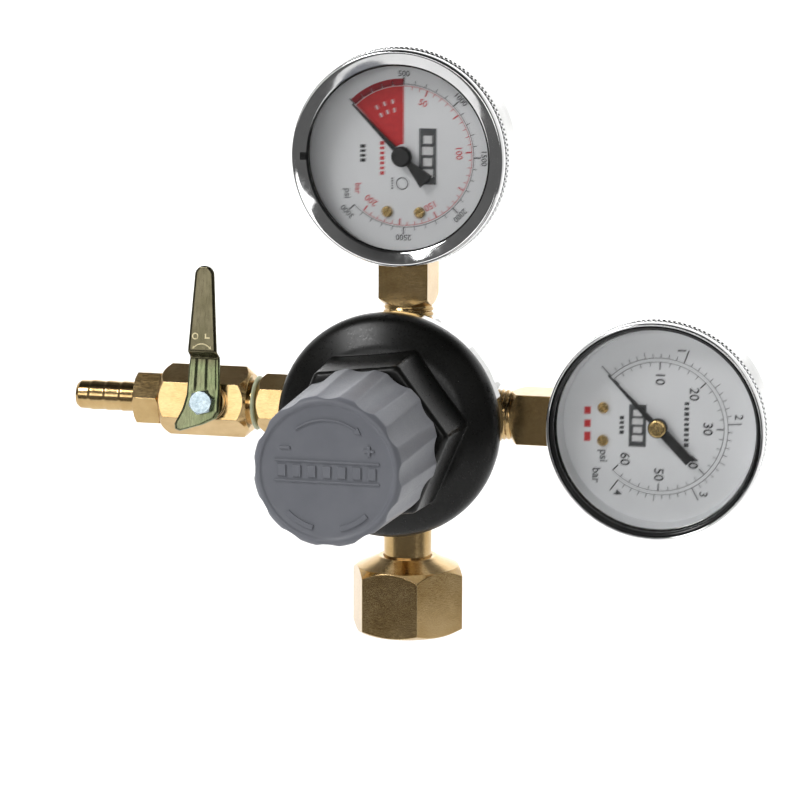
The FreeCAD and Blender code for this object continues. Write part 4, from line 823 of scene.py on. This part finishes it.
def lever_marks():
    """A ring, a corner, and a two-headed arc between them, raised on the sheet. Their light gold colour is a
    painted highlight for the light the embossing catches.
    """
    face = LEVER_FRONT + LEVER_STEP
    raised = (face - 0.05, face + 0.07)
    arc_middle = 0.1
    bm = bmesh.new()
    band(bm, 0.62, 0.95, 0, 360, *raised, step=15, centre=(-1.9, 18.6))
    plate(bm, [(0.9, 18.0), (2.3, 18.0), (2.3, 18.4), (1.3, 18.4), (1.3, 19.4), (0.9, 19.4)], *raised)
    band(bm, 2.75, 3.05, -48, 48, *raised, step=8, centre=(arc_middle, 13.6))
    for side in (-1, 1):
        head = ((2.75, 15.0), (2.05, 15.25), (2.5, 16.0))
        plate(bm, [(arc_middle + side * across, along) for across, along in head], *raised)
    piece("lever_marks", bm, LEVER, MARK_GOLD_HIGHLIGHT, "lever")


def lever():
    """Pressed sheet: rolled edges, a joggle, and three channels between the joggle and the screw."""
    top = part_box("valve_lever")[1].z / MM - LEVER_PIVOT.z
    length = (top - abs(LEVER_AXIS.z) * (LEVER_FRONT + LEVER_STEP)) / abs(LEVER_AXIS.y)
    bm = bmesh.new()
    closed_sheet(bm, *lever_faces(length))
    piece("lever_plate", bm, LEVER, MATERIALS["plated_lever"], "lever", ["valve_lever"], 50)
    lever_marks()


# ---- camera, light and floor ----

CAMERA_AT = Vector((237.5, -981.0, 254.2)) * MM
CAMERA_AIM = Vector((-2.4, 0, 65.8)) * MM
CAMERA_LENS = 164.7
CAMERA_ROLL = 0.2


def camera():
    """The view from a little to the right and above, through a long lens."""
    data = bpy.data.cameras.new("camera")
    data.lens = CAMERA_LENS
    data.sensor_width = 36
    data.clip_end = 20
    obj = bpy.data.objects.new("camera", data)
    aimed = (CAMERA_AIM - CAMERA_AT).to_track_quat("-Z", "Y").to_matrix().to_4x4()
    obj.matrix_world = Matrix.Translation(CAMERA_AT) @ aimed @ Matrix.Rotation(
        math.radians(CAMERA_ROLL), 4, "Z")
    scene.collection.objects.link(obj)
    scene.camera = obj


def softbox(name, at, size, power, aim=(0, 0, 0.08), mirrored=True):
    """A rectangular light, in metres and watts, that may be left out of reflections."""
    data = bpy.data.lights.new(name, "AREA")
    data.shape = "RECTANGLE"
    data.size, data.size_y = size
    data.energy = power
    obj = bpy.data.objects.new(name, data)
    obj.location = at
    obj.visible_glossy = mirrored
    obj.rotation_euler = (Vector(aim) - Vector(at)).to_track_quat("-Z", "Y").to_euler()
    scene.collection.objects.link(obj)


FLOOR = -0.12                            # the floor's height and sides, in metres
FLOOR_FRONT = -0.32
FLOOR_BACK = 2.2
FLOOR_LEFT = -2.4
FLOOR_RIGHT = 0.5
BACKDROP_HEIGHT = 3.2
BACKDROP_BEND = 1.2


def room():
    """A room that looks white, but lights the object from behind and is dim in front and overhead."""
    world = bpy.data.worlds.new("room")
    world.use_nodes = True
    tree = world.node_tree
    coords = tree.nodes.new("ShaderNodeTexCoord")
    split = tree.nodes.new("ShaderNodeSeparateXYZ")
    tree.links.new(coords.outputs["Generated"], split.inputs[0])

    def ramp(axis, start, end, low, high):
        made = tree.nodes.new("ShaderNodeMapRange")
        made.interpolation_type = "SMOOTHSTEP"
        for key, value in (("From Min", start), ("From Max", end), ("To Min", low), ("To Max", high)):
            made.inputs[key].default_value = value
        tree.links.new(split.outputs[axis], made.inputs["Value"])
        return made.outputs[0]

    product = tree.nodes.new("ShaderNodeMath")
    product.operation = "MULTIPLY"
    tree.links.new(ramp("Y", start=-0.1, end=0.5, low=0.12, high=1.0), product.inputs[0])
    tree.links.new(ramp("Z", start=0.45, end=0.75, low=1.0, high=0.10), product.inputs[1])
    seen = tree.nodes.new("ShaderNodeLightPath").outputs["Is Camera Ray"]
    brighter = tree.nodes.new("ShaderNodeMath")
    brighter.operation = "MAXIMUM"
    tree.links.new(product.outputs[0], brighter.inputs[0])
    tree.links.new(seen, brighter.inputs[1])
    tree.links.new(brighter.outputs[0], tree.nodes["Background"].inputs["Strength"])
    tree.nodes["Background"].inputs["Color"].default_value = (1, 1, 1, 1)
    scene.world = world


def sweep():
    """White paper below the object, which runs back and curves up behind it."""
    bm = bmesh.new()
    profile = [(FLOOR_FRONT, FLOOR), (FLOOR_BACK, FLOOR), (FLOOR_BACK, FLOOR + BACKDROP_HEIGHT)]
    rows = [[bm.verts.new((side, point.x, point.y)) for side in (FLOOR_LEFT, FLOOR_RIGHT)]
            for point in softened(profile, BACKDROP_BEND, 16)]
    for first, second in zip(rows, rows[1:]):
        bm.faces.new((first[0], first[1], second[1], second[0]))
    mesh = bpy.data.meshes.new("sweep")
    bm.to_mesh(mesh)
    bm.free()
    mesh.polygons.foreach_set("use_smooth", [True] * len(mesh.polygons))
    paper = coating("paper", (0.88, 0.88, 0.88), (0.91, 0.91, 0.91), (0.7, 0.9), 6, 300, 0.05)
    mesh.materials.append(paper)
    floor = bpy.data.objects.new("floor", mesh)
    scene.collection.objects.link(floor)


def studio():
    room()
    sweep()
    softbox("front", at=(-0.2, -2.0, 0.42), size=(2.6, 0.62), power=12, aim=(0, 0, 0.10))
    softbox("key", at=(-0.7, -0.9, 1.1), size=(0.5, 0.4), power=9)
    softbox("backdrop", at=(-0.3, 1.2, 1.7), size=(2.6, 0.8), power=64, aim=(-0.3, 1.6, 0.0),
            mirrored=False)
    scene.view_settings.view_transform = "Standard"


bonnet()
knob()
lever()
gauges()
threads()
outlet_washer()
camera()
studio()
